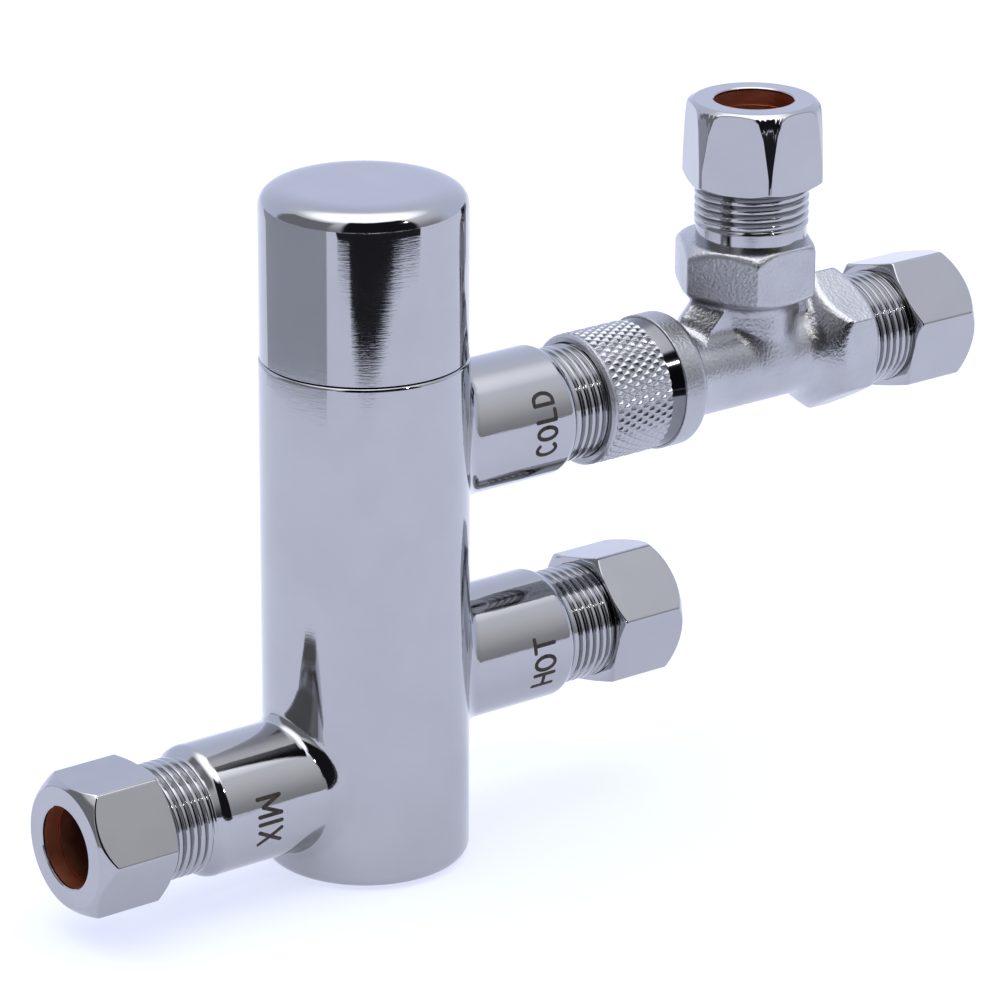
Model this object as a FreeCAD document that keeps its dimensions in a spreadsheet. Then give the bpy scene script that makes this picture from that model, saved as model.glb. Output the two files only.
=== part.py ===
import FreeCAD, Part
import math
import os

import Sketcher
from FreeCAD import Placement, Rotation, Vector

# Point-of-use mixing valve with a cold tee. Millimetres, +Z up.
# The origin is the centre of the flat base, on the axis of the column.
# +X points along the hot and cold inlets, -X along the mixed outlet.

PARTS_FOLDER = "parts"
SHEET = "Sizes"
ROOT_OF_THREE = math.sqrt(3.0)

DRIVING = {
    # Column of the valve body; its head rises above the cold port.
    "body_radius": 12.5,
    "head_length": 12.1,
    "base_round": 1.4,
    "floor_thickness": 3.0,
    "neck_radius": 11.6,
    "neck_height": 4.8,
    # Heights of the three port axes above the base.
    "mix_height": 11.4,
    "hot_height": 22.1,
    "cold_height": 51.1,
    # Barrels with their threaded spigots, measured out from the column's axis.
    "barrel_radius": 8.05,
    "barrel_reach": 26.5,
    "shoulder_length": 2.3,
    "spigot_reach": 38.6,
    "thread_radius": 7.1,
    "root_fillet": 1.6,
    # Tube sockets and waterways.
    "socket_radius": 4.82,
    "socket_depth": 8.0,
    "mouth_radius": 5.75,
    "mouth_depth": 1.6,
    "port_radius": 4.0,
    "inlet_port_radius": 3.6,
    # Inside of the column.
    "mix_chamber_radius": 7.4,
    "annulus_radius": 10.2,
    "annulus_margin": 0.5,
    "port_overlap": 1.0,
    "seat_gap": 0.6,
    "land_radius": 9.4,
    "land_length": 3.7,
    "bonnet_thread_radius": 9.8,
    # Clearances.
    "sliding_gap": 0.05,
    "seal_gap": 0.02,
    "face_gap": 0.1,
    # Cap.
    "cap_inset": 0.12,
    "cap_height": 21.3,
    "cap_round": 4.6,
    "cap_roof": 2.0,
    # Seals.
    "seal_groove_depth": 1.0,
    "seal_groove_width": 1.5,
    # Bonnet.
    "skirt_radius": 8.2,
    "cup_bore_radius": 6.6,
    "bonnet_flats": 19.0,
    "bonnet_head_height": 3.0,
    "bonnet_boss_radius": 6.5,
    "bonnet_boss_height": 2.0,
    "key_width": 2.0,
    "key_height": 0.7,
    # Adjusting spindle.
    "journal_radius": 3.0,
    "spindle_thread_radius": 3.5,
    "spindle_thread_length": 9.75,
    "spindle_collar_radius": 5.2,
    "spindle_collar_height": 1.2,
    "spindle_groove_radius": 2.2,
    "spindle_end_land": 0.6,
    "drive_flats": 5.0,
    "drive_length": 5.8,
    "circlip_thickness": 0.6,
    "circlip_radius": 4.2,
    "circlip_groove_radius": 2.5,
    # Spring cup, pusher and overtravel spring.
    "cup_travel": 3.0,
    "cup_length": 13.6,
    "cup_web": 4.0,
    "cup_chamber_radius": 5.4,
    "pusher_foot_inset": 0.5,
    "pusher_thickness": 1.2,
    "pusher_boss_radius": 3.0,
    "pusher_ring_inner": 4.0,
    "pusher_ring_outer": 5.8,
    "pusher_ring_thickness": 0.8,
    "pusher_ring_inset": 0.3,
    "overtravel_coil_radius": 4.6,
    "overtravel_wire": 1.0,
    # Shuttle and thermostatic element.
    "shuttle_radius": 8.5,
    "shuttle_wall": 1.2,
    "shuttle_lip_height": 2.4,
    "shuttle_lip_thickness": 1.2,
    "shuttle_lip_radius": 5.0,
    "shuttle_rib_drop": 6.4,
    "shuttle_rib_length": 5.0,
    "shuttle_rib_radius": 6.4,
    "spider_thickness": 2.0,
    "spider_hole_radius": 1.0,
    "spider_hole_circle": 5.6,
    "element_radius": 3.95,
    "element_flange_radius": 4.6,
    "element_flange_thickness": 1.2,
    "bulb_radius": 3.5,
    "bulb_clearance": 5.9,
    "element_body_length": 7.1,
    "element_neck_radius": 2.6,
    "element_neck_length": 3.8,
    "piston_radius": 1.25,
    "piston_depth": 9.4,
    "piston_exposure": 3.55,
    "piston_play": 1.2,
    "return_coil_radius": 6.2,
    "return_wire": 0.9,
    # Check valve cartridges, measured out from the column's axis.
    "check_reach": 18.0,
    "check_length": 11.4,
    "cartridge_bore_radius": 4.4,
    "check_bore_radius": 3.4,
    "check_seat_thickness": 1.4,
    "check_seat_radius": 2.2,
    "check_guide_thickness": 1.2,
    "poppet_radius": 2.85,
    "poppet_thickness": 1.1,
    "poppet_stem_radius": 0.8,
    "check_seal_place": 5.1,
    "check_groove_depth": 0.6,
    "guide_hole_circle": 2.1,
    "check_coil_radius": 1.7,
    "check_wire": 0.5,
    "strainer_thickness": 1.0,
    "strainer_rim": 0.8,
    "strainer_mesh": 0.3,
    "strainer_hole_radius": 0.75,
    "strainer_hole_circle": 2.4,
    # Compression nuts.
    "nut_flats": 15.7,
    "nut_length": 10.5,
    "nut_front_chamfer": 1.15,
    "nut_rear_chamfer": 0.65,
    "nut_face_radius": 6.8,
    "nut_engagement": 5.9,
    "nut_thread_depth": 6.3,
    "nut_cone_radius": 6.3,
    "nut_cone_length": 2.0,
    "nut_hole_radius": 4.95,
    "nut_hole_break": 0.15,
    # Ferrules.
    "ferrule_bore_radius": 4.84,
    "ferrule_length": 3.4,
    "ferrule_gap": 0.08,
    "ferrule_seat_depth": 1.2,
    "ferrule_crown_depth": 0.3,
    # Knurled coupling nut, which laps over the cold spigot.
    "union_overlap": 7.4,
    "union_length": 15.0,
    "union_rim": 0.4,
    "knurl_length": 8.8,
    "knurl_radius": 8.18,
    "knurl_depth": 0.33,
    "union_groove_radius": 7.95,
    "union_groove_length": 2.4,
    "union_collar_radius": 8.4,
    "union_collar_round": 0.6,
    "union_lip": 2.6,
    "tail_radius": 5.85,
    "tail_bore_radius": 4.0,
    "tail_clearance": 0.95,
    "neck_clearance": 0.5,
    "union_ring_thickness": 0.9,
    "union_ring_radius": 6.9,
    "union_ring_groove_radius": 5.1,
    "seal_bore_radius": 4.2,
    # Forged tee, measured from where its two axes meet, beyond the spigot's end.
    "tee_offset": 20.5,
    "tee_run_length": 26.8,
    "tee_branch_length": 28.8,
    "tee_run_radius": 5.75,
    "tee_branch_radius": 5.6,
    "run_collar_start": 9.9,
    "run_collar_end": 14.9,
    "run_collar_draft": 3.0,
    "branch_collar_start": 9.8,
    "branch_collar_end": 15.9,
    "branch_collar_draft": 1.4,
    "branch_collar_flats": 16.0,
    "branch_collar_shift": 0.9,
    "branch_relief_length": 2.0,
    "branch_relief_radius": 6.85,
    "web_thickness": 6.4,
    "web_draft": 40.0,
    "left_web_top": 12.0,
    "left_web_top_reach": 8.4,
    "left_web_height": 7.4,
    "left_web_reach": 10.8,
    "right_web_height": 5.4,
    "right_web_top_reach": 7.1,
}

HEX_PHASE = {"mix": 29.87, "hot": 16.88, "run": 15.6, "branch": 4.2}
KNURL_COLUMNS = 34
KNURL_ROWS = 6
SPIDER_HOLES = 6
STRAINER_HOLES = 6
GUIDE_HOLES = 3
RETURN_TURNS = 6
OVERTRAVEL_TURNS = 5
CHECK_TURNS = 6
COIL_STEPS = 12


class Size:
    """A length together with the sheet expression that gives it."""

    def __init__(self, value, text):
        self.value = value
        self.text = text

    def joined(self, other, sign, value):
        return Size(value, f"({self.text} {sign} {as_size(other).text})")

    def __add__(self, other):
        return self.joined(other, "+", self.value + as_size(other).value)

    def __radd__(self, other):
        return as_size(other) + self

    def __sub__(self, other):
        return self.joined(other, "-", self.value - as_size(other).value)

    def __rsub__(self, other):
        return as_size(other) - self

    def __mul__(self, factor):
        return self.joined(factor, "*", self.value * as_size(factor).value)

    def __truediv__(self, other):
        return self.joined(other, "/", self.value / as_size(other).value)

    def __neg__(self):
        return Size(-self.value, f"(0 - {self.text})")


def as_size(number):
    """A plain number as a Size, or the Size itself."""
    if isinstance(number, Size):
        return number
    return Size(float(number), repr(float(number)))


class Sizes:
    """The driving dimensions by name, each bound to its cell."""

    def __init__(self, values):
        for name, value in values.items():
            setattr(self, name, Size(value, f"{SHEET}.{name}"))


def make_sheet(doc):
    """The spreadsheet that holds every driving dimension."""
    sheet = doc.addObject("Spreadsheet::Sheet", SHEET)
    for row, (name, value) in enumerate(DRIVING.items(), start=1):
        sheet.set(f"A{row}", name)
        sheet.set(f"B{row}", str(value))
        sheet.setAlias(f"B{row}", name)
    doc.recompute()


doc = FreeCAD.newDocument("MixingValve")
make_sheet(doc)
s = Sizes(DRIVING)

# Places along the column that several pieces share.
body_height = s.cold_height + s.head_length
neck_top = body_height + s.neck_height
hot_seat = s.hot_height - s.inlet_port_radius - s.annulus_margin
hot_annulus_top = s.hot_height + s.inlet_port_radius + s.annulus_margin
cold_annulus_bottom = s.cold_height - s.inlet_port_radius - s.annulus_margin
cold_annulus_top = s.cold_height + s.inlet_port_radius + s.annulus_margin
land_top = cold_annulus_top + s.land_length
shuttle_bottom = hot_seat + s.seat_gap
shuttle_top = cold_annulus_bottom + s.seat_gap
cold_seat = shuttle_top + s.seat_gap
bonnet_top = neck_top + s.bonnet_head_height + s.bonnet_boss_height
spindle_collar_top = neck_top - s.sliding_gap
spindle_collar_bottom = spindle_collar_top - s.spindle_collar_height
cup_top = spindle_collar_bottom - s.cup_travel - s.face_gap
cup_bottom = cup_top - s.cup_length
pusher_seat = cup_bottom + s.pusher_ring_inset + s.pusher_ring_thickness
pusher_foot = cup_bottom + s.pusher_foot_inset
element_top = pusher_foot - s.piston_exposure
spider_top = element_top - s.element_neck_length - s.element_flange_thickness
spider_height = spider_top - s.spider_thickness - shuttle_bottom
shuttle_rib_start = spider_height - s.shuttle_rib_drop
bulb_length = spider_top - s.element_body_length - s.floor_thickness - s.bulb_clearance
nut_reach = s.spigot_reach - s.nut_engagement
union_reach = s.spigot_reach - s.union_overlap
tee_reach = s.spigot_reach + s.tee_offset
shuttle_bore_radius = s.shuttle_radius + s.sliding_gap
nut_thread_bore = s.thread_radius + s.sliding_gap
union_end = union_reach + s.union_length


def origin_plane(body, role):
    """One of the body's own origin planes, found by its role."""
    for feature in body.Origin.OriginFeatures:
        if feature.Role == role:
            return feature
    raise ValueError(role)


def make_body(name):
    """An empty PartDesign body whose label names its file."""
    body = doc.addObject("PartDesign::Body", name)
    body.Label = name
    return body


def arc_through(start, end, radius):
    """An arc from start to end; a positive radius has its centre on the left of the way."""
    chord = end - start
    middle = (start + end) / 2
    side = Vector(-chord.y, chord.x, 0).normalize()
    reach = math.sqrt(max(radius * radius - chord.Length ** 2 / 4, 0.0))
    centre = middle + side * reach if radius > 0 else middle - side * reach
    first, last = (start, end) if radius > 0 else (end, start)
    first_angle = math.atan2(first.y - centre.y, first.x - centre.x)
    last_angle = math.atan2(last.y - centre.y, last.x - centre.x)
    circle = Part.Circle(centre, Vector(0, 0, 1), abs(radius))
    return Part.ArcOfCircle(circle, first_angle, last_angle)


def closed_sketch(body, name, points, plane="XZ_Plane", lift=None):
    """A closed outline; a point with a third item is reached by an arc of that radius."""
    sketch = body.newObject("Sketcher::SketchObject", name)
    sketch.AttachmentSupport = [(origin_plane(body, plane), "")]
    sketch.MapMode = "FlatFace"
    if lift is not None:
        axis, distance = lift
        sketch.setExpression(f"AttachmentOffset.Base.{axis}", as_size(distance).text)
    corners = [tuple(as_size(item) for item in point) for point in points]
    count = len(corners)
    places = [Vector(corner[0].value, corner[1].value, 0) for corner in corners]
    reversed_edges = set()
    for index in range(count):
        target = corners[(index + 1) % count]
        start, end = places[index], places[(index + 1) % count]
        if len(target) == 3:
            sketch.addGeometry(arc_through(start, end, target[2].value), False)
            if target[2].value < 0:
                reversed_edges.add(index)
        else:
            sketch.addGeometry(Part.LineSegment(start, end), False)
    for index in range(count):
        before = (index - 1) % count
        end_of_before = 1 if before in reversed_edges else 2
        start_of_this = 2 if index in reversed_edges else 1
        sketch.addConstraint(
            Sketcher.Constraint("Coincident", before, end_of_before, index, start_of_this)
        )
    for index, corner in enumerate(corners):
        start = 2 if index in reversed_edges else 1
        for kind, size in (("DistanceX", corner[0]), ("DistanceY", corner[1])):
            number = sketch.addConstraint(
                Sketcher.Constraint(kind, -1, 1, index, start, size.value)
            )
            sketch.setExpression(f"Constraints[{number}]", size.text)
        if len(corner) == 3:
            edge = (index - 1) % count
            number = sketch.addConstraint(
                Sketcher.Constraint("Radius", edge, abs(corner[2].value))
            )
            sign = "" if corner[2].value > 0 else "0 - "
            sketch.setExpression(f"Constraints[{number}]", f"{sign}{corner[2].text}")
    return sketch


def revolve(body, name, points, axis="V_Axis", cut=False, lift=None):
    """A revolution, or a groove, of a closed outline about an axis of its sketch."""
    sketch = closed_sketch(body, f"{name}_outline", points, lift=lift)
    kind = "PartDesign::Groove" if cut else "PartDesign::Revolution"
    feature = body.newObject(kind, name)
    feature.Profile = sketch
    feature.ReferenceAxis = (sketch, [axis])
    feature.Angle = 360
    body.Tip = feature
    return feature


def pad(body, name, points, length, plane="XY_Plane", lift=None):
    """A pad of a closed outline."""
    sketch = closed_sketch(body, f"{name}_outline", points, plane, lift)
    feature = body.newObject("PartDesign::Pad", name)
    feature.Profile = sketch
    feature.setExpression("Length", as_size(length).text)
    body.Tip = feature
    return feature


def drafted_web(body, name, points):
    """A web centred on the parting line, narrowing to both sides by its draft."""
    feature = pad(body, name, points, s.web_thickness, "XZ_Plane")
    feature.Midplane = True
    feature.setExpression("TaperAngle", f"0 - {s.web_draft.text}")
    return feature


def hexagon(flats, shift=0.0, turned=False):
    """The corners of a hexagon, the first on the first axis or, turned, on the second."""
    corner = as_size(flats) / ROOT_OF_THREE
    points = []
    for index in range(6):
        angle = math.radians(60 * index)
        across, along = math.cos(angle), math.sin(angle)
        if turned:
            across, along = along, across
        points.append((corner * across + shift, corner * along))
    return points


def drill(body, name, radius, circle, count, depth_from, depth, plane):
    """A ring of through holes parallel to the axis of the piece."""
    sketch = body.newObject("Sketcher::SketchObject", f"{name}_outline")
    sketch.AttachmentSupport = [(origin_plane(body, plane), "")]
    sketch.MapMode = "FlatFace"
    sketch.setExpression("AttachmentOffset.Base.z", as_size(depth_from).text)
    radius, circle = as_size(radius), as_size(circle)
    for index in range(count):
        angle = 2 * math.pi * index / count
        across, along = circle * math.cos(angle), circle * math.sin(angle)
        centre = Vector(across.value, along.value, 0)
        sketch.addGeometry(Part.Circle(centre, Vector(0, 0, 1), radius.value), False)
        for kind, size in (("DistanceX", across), ("DistanceY", along)):
            number = sketch.addConstraint(
                Sketcher.Constraint(kind, -1, 1, index, 3, size.value)
            )
            sketch.setExpression(f"Constraints[{number}]", size.text)
        number = sketch.addConstraint(Sketcher.Constraint("Radius", index, radius.value))
        sketch.setExpression(f"Constraints[{number}]", radius.text)
    pocket = body.newObject("PartDesign::Pocket", name)
    pocket.Profile = sketch
    pocket.setExpression("Length", as_size(depth).text)
    pocket.Midplane = True
    body.Tip = pocket
    return pocket


def place(item, x=0.0, y=0.0, z=0.0, turn=Rotation()):
    """Places a finished piece from the sheet's sizes."""
    item.Placement = Placement(Vector(0, 0, 0), turn)
    for axis, distance in (("x", x), ("y", y), ("z", z)):
        size = as_size(distance)
        if isinstance(distance, Size):
            item.setExpression(f"Placement.Base.{axis}", size.text)
    return item


def seal_ring(name, groove_radius, outer_radius, height, x=0.0, turn=Rotation()):
    """A round seal that fills its groove without being squeezed."""
    section = (as_size(outer_radius) - s.seal_gap - groove_radius) / 2
    ring = doc.addObject("Part::Torus", name)
    ring.Label = name
    ring.setExpression("Radius1", (as_size(groove_radius) + section).text)
    ring.setExpression("Radius2", section.text)
    return place(ring, x=x, z=height, turn=turn)


def spring(name, coil_radius, wire, length, turns, x=0.0, z=0.0, turn=Rotation()):
    """A compression spring of round wire between two flat seats."""
    wire_radius = wire.value / 2 + s.face_gap.value
    rise = length.value - 2 * wire_radius
    steps = turns * COIL_STEPS
    sections = []
    for step in range(steps + 1):
        angle = 2 * math.pi * step / COIL_STEPS
        along = Vector(-math.sin(angle), math.cos(angle), 0)
        centre = Vector(coil_radius.value * along.y, -coil_radius.value * along.x,
                        rise * step / steps)
        sections.append(Part.Wire(Part.makeCircle(wire.value / 2, centre, along)))
    item = doc.addObject("Part::Feature", name)
    item.Label = name
    item.Shape = Part.makeLoft(sections, True, True)
    axis = turn.multVec(Vector(0, 0, wire_radius))
    base = Vector(as_size(x).value, 0, as_size(z).value)
    item.Placement = Placement(base + axis, turn)
    return item


# Turns a piece drawn along +X so that it points where its port does.
TO_PLUS_X = Rotation()
TO_MINUS_X = Rotation(Vector(0, 0, 1), 180)
TO_PLUS_Z = Rotation(Vector(0, 1, 0), -90)
Z_TO_PLUS_X = Rotation(Vector(0, 1, 0), 90)


def barrel_outline(direction):
    """Half section of a barrel, its ogive shoulder and its threaded spigot."""
    drop = s.barrel_radius - s.thread_radius
    ogive = (s.shoulder_length * s.shoulder_length + drop * drop) / (drop * 2)
    sign = direction
    turn = -1 if direction > 0 else 1
    return [
        (0, 0),
        (0, s.barrel_radius),
        ((s.barrel_reach - s.shoulder_length) * sign, s.barrel_radius),
        (s.barrel_reach * sign, s.thread_radius, ogive * turn),
        (s.spigot_reach * sign, s.thread_radius),
        (s.spigot_reach * sign, 0),
    ]


def socket_outline(direction, start, waterway, end):
    """Half section of a waterway, its tube socket and the ferrule's cone."""
    return [
        (start * direction, 0),
        (start * direction, waterway),
        ((end - s.socket_depth) * direction, waterway),
        ((end - s.socket_depth) * direction, s.socket_radius),
        ((end - s.mouth_depth) * direction, s.socket_radius),
        (end * direction, s.mouth_radius),
        ((end + s.face_gap) * direction, s.mouth_radius),
        ((end + s.face_gap) * direction, 0),
    ]


def cartridge_outline(takes_tube):
    """Half section of an inlet: the cartridge's bore, a tube socket if any, and the mouth."""
    step = s.check_reach - s.face_gap
    socket_start = s.spigot_reach - s.socket_depth
    cone_start = s.spigot_reach - s.mouth_depth
    straight = [(cone_start, s.cartridge_bore_radius)]
    if takes_tube:
        straight = [
            (socket_start, s.cartridge_bore_radius),
            (socket_start, s.socket_radius),
            (cone_start, s.socket_radius),
        ]
    return [
        (s.annulus_radius - s.port_overlap, 0),
        (s.annulus_radius - s.port_overlap, s.inlet_port_radius),
        (step, s.inlet_port_radius),
        (step, s.cartridge_bore_radius),
        *straight,
        (s.spigot_reach, s.mouth_radius),
        (s.spigot_reach + s.face_gap, s.mouth_radius),
        (s.spigot_reach + s.face_gap, 0),
    ]


def make_valve_body():
    """The column with its three barrels, bored from the top and through each port."""
    body = make_body("valve_body")
    revolve(body, "column", [
        (0, 0),
        (s.body_radius - s.base_round, 0),
        (s.body_radius, s.base_round, s.base_round),
        (s.body_radius, body_height),
        (s.neck_radius, body_height),
        (s.neck_radius, neck_top),
        (0, neck_top),
    ])
    revolve(body, "mix_barrel", barrel_outline(-1), "H_Axis", lift=("y", s.mix_height))
    revolve(body, "hot_barrel", barrel_outline(1), "H_Axis", lift=("y", s.hot_height))
    revolve(body, "cold_barrel", barrel_outline(1), "H_Axis", lift=("y", s.cold_height))
    doc.recompute()
    fillet_barrels(body)
    revolve(body, "chambers", [
        (0, s.floor_thickness),
        (s.mix_chamber_radius, s.floor_thickness),
        (s.mix_chamber_radius, hot_seat),
        (s.annulus_radius, hot_seat),
        (s.annulus_radius, hot_annulus_top),
        (shuttle_bore_radius, hot_annulus_top),
        (shuttle_bore_radius, cold_annulus_bottom),
        (s.annulus_radius, cold_annulus_bottom),
        (s.annulus_radius, cold_annulus_top),
        (s.land_radius, cold_annulus_top),
        (s.land_radius, land_top),
        (s.bonnet_thread_radius, land_top),
        (s.bonnet_thread_radius, neck_top),
        (0, neck_top),
    ], cut=True)
    groove_height = body_height + s.neck_height / 2
    revolve(body, "cap_seal_groove", groove_ring(s.neck_radius, groove_height), cut=True)
    mix_start = s.mix_chamber_radius - s.port_overlap
    revolve(body, "mix_port", socket_outline(-1, mix_start, s.port_radius, s.spigot_reach),
            "H_Axis", cut=True, lift=("y", s.mix_height))
    revolve(body, "hot_port", cartridge_outline(takes_tube=True), "H_Axis",
            cut=True, lift=("y", s.hot_height))
    revolve(body, "cold_port", cartridge_outline(takes_tube=False), "H_Axis",
            cut=True, lift=("y", s.cold_height))
    return body


def groove_ring(radius, height):
    """Half section of a square seal groove cut in from a radius."""
    half = s.seal_groove_width / 2
    return [
        (radius - s.seal_groove_depth, height - half),
        (radius + s.seal_groove_depth, height - half),
        (radius + s.seal_groove_depth, height + half),
        (radius - s.seal_groove_depth, height + half),
    ]


def fillet_barrels(body):
    """Rounds the root of each barrel where it leaves the column."""
    names = [f"Edge{index}" for index, edge in enumerate(body.Shape.Edges, start=1)
             if edge.Curve.TypeId == "Part::GeomBSplineCurve"]
    rough = body.Tip
    feature = body.newObject("PartDesign::Fillet", "barrel_roots")
    feature.Base = (rough, names)
    feature.setExpression("Radius", s.root_fillet.text)
    body.Tip = feature


def make_cap():
    """The drawn cap, open below, with a large round to its flat top."""
    body = make_body("cap")
    outer = s.body_radius - s.cap_inset
    inner = s.neck_radius + s.sliding_gap
    inner_round = s.cap_round - s.cap_roof / 2
    roof = s.cap_height - s.cap_roof
    revolve(body, "shell", [
        (inner, 0),
        (outer, 0),
        (outer, s.cap_height - s.cap_round),
        (outer - s.cap_round, s.cap_height, s.cap_round),
        (0, s.cap_height),
        (0, roof),
        (inner - inner_round, roof),
        (inner, roof - inner_round, -inner_round),
    ])
    return place(body, z=body_height + s.cap_inset)


def make_bonnet():
    """The headwork: cold seat, keyed bore for the cup, screw thread and spanner flats."""
    body = make_body("bonnet")
    land_start = cold_annulus_top + s.face_gap - cold_seat
    thread_start = land_top + s.face_gap - cold_seat
    shoulder = neck_top - cold_seat
    head_top = shoulder + s.bonnet_head_height
    revolve(body, "turned_body", [
        (s.cup_bore_radius, 0),
        (s.skirt_radius, 0),
        (s.skirt_radius, land_start),
        (s.land_radius - s.sliding_gap, land_start),
        (s.land_radius - s.sliding_gap, thread_start),
        (s.bonnet_thread_radius - s.sliding_gap, thread_start),
        (s.bonnet_thread_radius - s.sliding_gap, head_top),
        (s.bonnet_boss_radius, head_top),
        (s.bonnet_boss_radius, head_top + s.bonnet_boss_height),
        (s.journal_radius + s.sliding_gap, head_top + s.bonnet_boss_height),
        (s.journal_radius + s.sliding_gap, shoulder),
        (s.cup_bore_radius, shoulder),
    ])
    pad(body, "spanner_flats", hexagon(s.bonnet_flats), s.bonnet_head_height,
        lift=("z", shoulder))
    revolve(body, "spindle_hole", [
        (0, 0),
        (s.journal_radius + s.sliding_gap, 0),
        (s.journal_radius + s.sliding_gap, head_top + s.bonnet_boss_height),
        (0, head_top + s.bonnet_boss_height),
    ], cut=True)
    seal_height = (cold_annulus_top + land_top) / 2 - cold_seat
    revolve(body, "seal_groove", groove_ring(s.land_radius, seal_height), cut=True)
    slot_half = s.key_width / 2 + s.sliding_gap
    slot_depth = s.cup_bore_radius + s.key_height + s.face_gap
    sketch = closed_sketch(body, "key_slot_outline", [
        (s.cup_bore_radius - s.key_height, -slot_half),
        (slot_depth, -slot_half),
        (slot_depth, slot_half),
        (s.cup_bore_radius - s.key_height, slot_half),
    ], "XY_Plane")
    slot = body.newObject("PartDesign::Pocket", "key_slot")
    slot.Profile = sketch
    slot.Reversed = True
    slot.setExpression("Length", shoulder.text)
    body.Tip = slot
    return place(body, z=cold_seat)


def make_spindle():
    """The adjusting spindle: driving thread, thrust collar, journal and hexagon drive."""
    body = make_body("adjusting_spindle")
    collar_start = s.spindle_thread_length
    collar_end = collar_start + s.spindle_collar_height
    groove_start = collar_end + (bonnet_top - spindle_collar_top) + s.sliding_gap
    groove_end = groove_start + s.circlip_thickness + s.sliding_gap * 2
    journal_end = groove_end + s.spindle_end_land
    revolve(body, "turned_body", [
        (0, 0),
        (s.spindle_thread_radius, 0),
        (s.spindle_thread_radius, collar_start),
        (s.spindle_collar_radius, collar_start),
        (s.spindle_collar_radius, collar_end),
        (s.journal_radius, collar_end),
        (s.journal_radius, groove_start),
        (s.circlip_groove_radius, groove_start),
        (s.circlip_groove_radius, groove_end),
        (s.journal_radius, groove_end),
        (s.journal_radius, journal_end),
        (0, journal_end),
    ])
    seal_height = (collar_end + groove_start) / 2
    half = s.seal_groove_width / 2
    revolve(body, "seal_groove", [
        (s.spindle_groove_radius, seal_height - half),
        (s.journal_radius + s.face_gap, seal_height - half),
        (s.journal_radius + s.face_gap, seal_height + half),
        (s.spindle_groove_radius, seal_height + half),
    ], cut=True)
    pad(body, "hexagon_drive", hexagon(s.drive_flats), s.drive_length,
        lift=("z", journal_end))
    return place(body, z=spindle_collar_bottom - s.spindle_thread_length)


def make_spring_cup():
    """The keyed cup that the spindle's thread raises and lowers."""
    body = make_body("spring_cup")
    ring_start = s.pusher_ring_inset - s.sliding_gap
    ring_end = s.pusher_ring_inset + s.pusher_ring_thickness + s.sliding_gap
    ring_radius = s.pusher_ring_outer + s.sliding_gap
    outer = s.cup_bore_radius - s.sliding_gap
    web_start = s.cup_length - s.cup_web
    revolve(body, "turned_body", [
        (s.cup_chamber_radius, 0),
        (outer, 0),
        (outer, s.cup_length),
        (s.spindle_thread_radius + s.sliding_gap, s.cup_length),
        (s.spindle_thread_radius + s.sliding_gap, web_start),
        (s.cup_chamber_radius, web_start),
        (s.cup_chamber_radius, ring_end),
        (ring_radius, ring_end),
        (ring_radius, ring_start),
        (s.cup_chamber_radius, ring_start),
    ])
    half = s.key_width / 2
    pad(body, "key", [
        (outer - s.face_gap, -half),
        (s.cup_bore_radius + s.key_height, -half),
        (s.cup_bore_radius + s.key_height, half),
        (outer - s.face_gap, half),
    ], s.cup_length)
    return place(body, z=cup_bottom)


def make_pusher():
    """The sprung disc whose foot bears on the element's piston."""
    body = make_body("pusher")
    foot = pusher_seat - pusher_foot
    radius = s.cup_chamber_radius - s.sliding_gap
    revolve(body, "disc", [
        (0, 0),
        (s.pusher_boss_radius, 0),
        (s.pusher_boss_radius, foot),
        (radius, foot),
        (radius, foot + s.pusher_thickness),
        (0, foot + s.pusher_thickness),
    ])
    return place(body, z=pusher_foot)


def make_flat_ring(name, inner, outer, thickness, z):
    """A plain flat ring, such as a circlip."""
    body = make_body(name)
    revolve(body, "ring", [
        (inner, 0),
        (outer, 0),
        (outer, thickness),
        (inner, thickness),
    ])
    return place(body, z=z)


def make_shuttle():
    """The sleeve with its spring lip, sealing rib and the spider that holds the element."""
    body = make_body("shuttle")
    length = shuttle_top - shuttle_bottom
    inner = s.shuttle_radius - s.shuttle_wall
    lip_end = s.shuttle_lip_height + s.shuttle_lip_thickness
    rib_end = shuttle_rib_start + s.shuttle_rib_length
    spider_end = spider_height + s.spider_thickness
    hub = s.element_radius + s.sliding_gap
    revolve(body, "sleeve", [
        (inner, 0),
        (s.shuttle_radius, 0),
        (s.shuttle_radius, length),
        (inner, length),
        (inner, spider_end),
        (hub, spider_end),
        (hub, spider_height),
        (inner, spider_height),
        (inner, rib_end),
        (s.shuttle_rib_radius, rib_end),
        (s.shuttle_rib_radius, shuttle_rib_start),
        (inner, shuttle_rib_start),
        (inner, lip_end),
        (s.shuttle_lip_radius, lip_end),
        (s.shuttle_lip_radius, s.shuttle_lip_height),
        (inner, s.shuttle_lip_height),
    ])
    seal_height = (shuttle_rib_start + rib_end) / 2
    revolve(body, "seal_groove", groove_ring(s.shuttle_radius, seal_height), cut=True)
    drill(body, "spider_holes", s.spider_hole_radius, s.spider_hole_circle, SPIDER_HOLES,
          spider_height + s.spider_thickness / 2, s.spider_thickness * 2, "XY_Plane")
    return place(body, z=shuttle_bottom)


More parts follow.
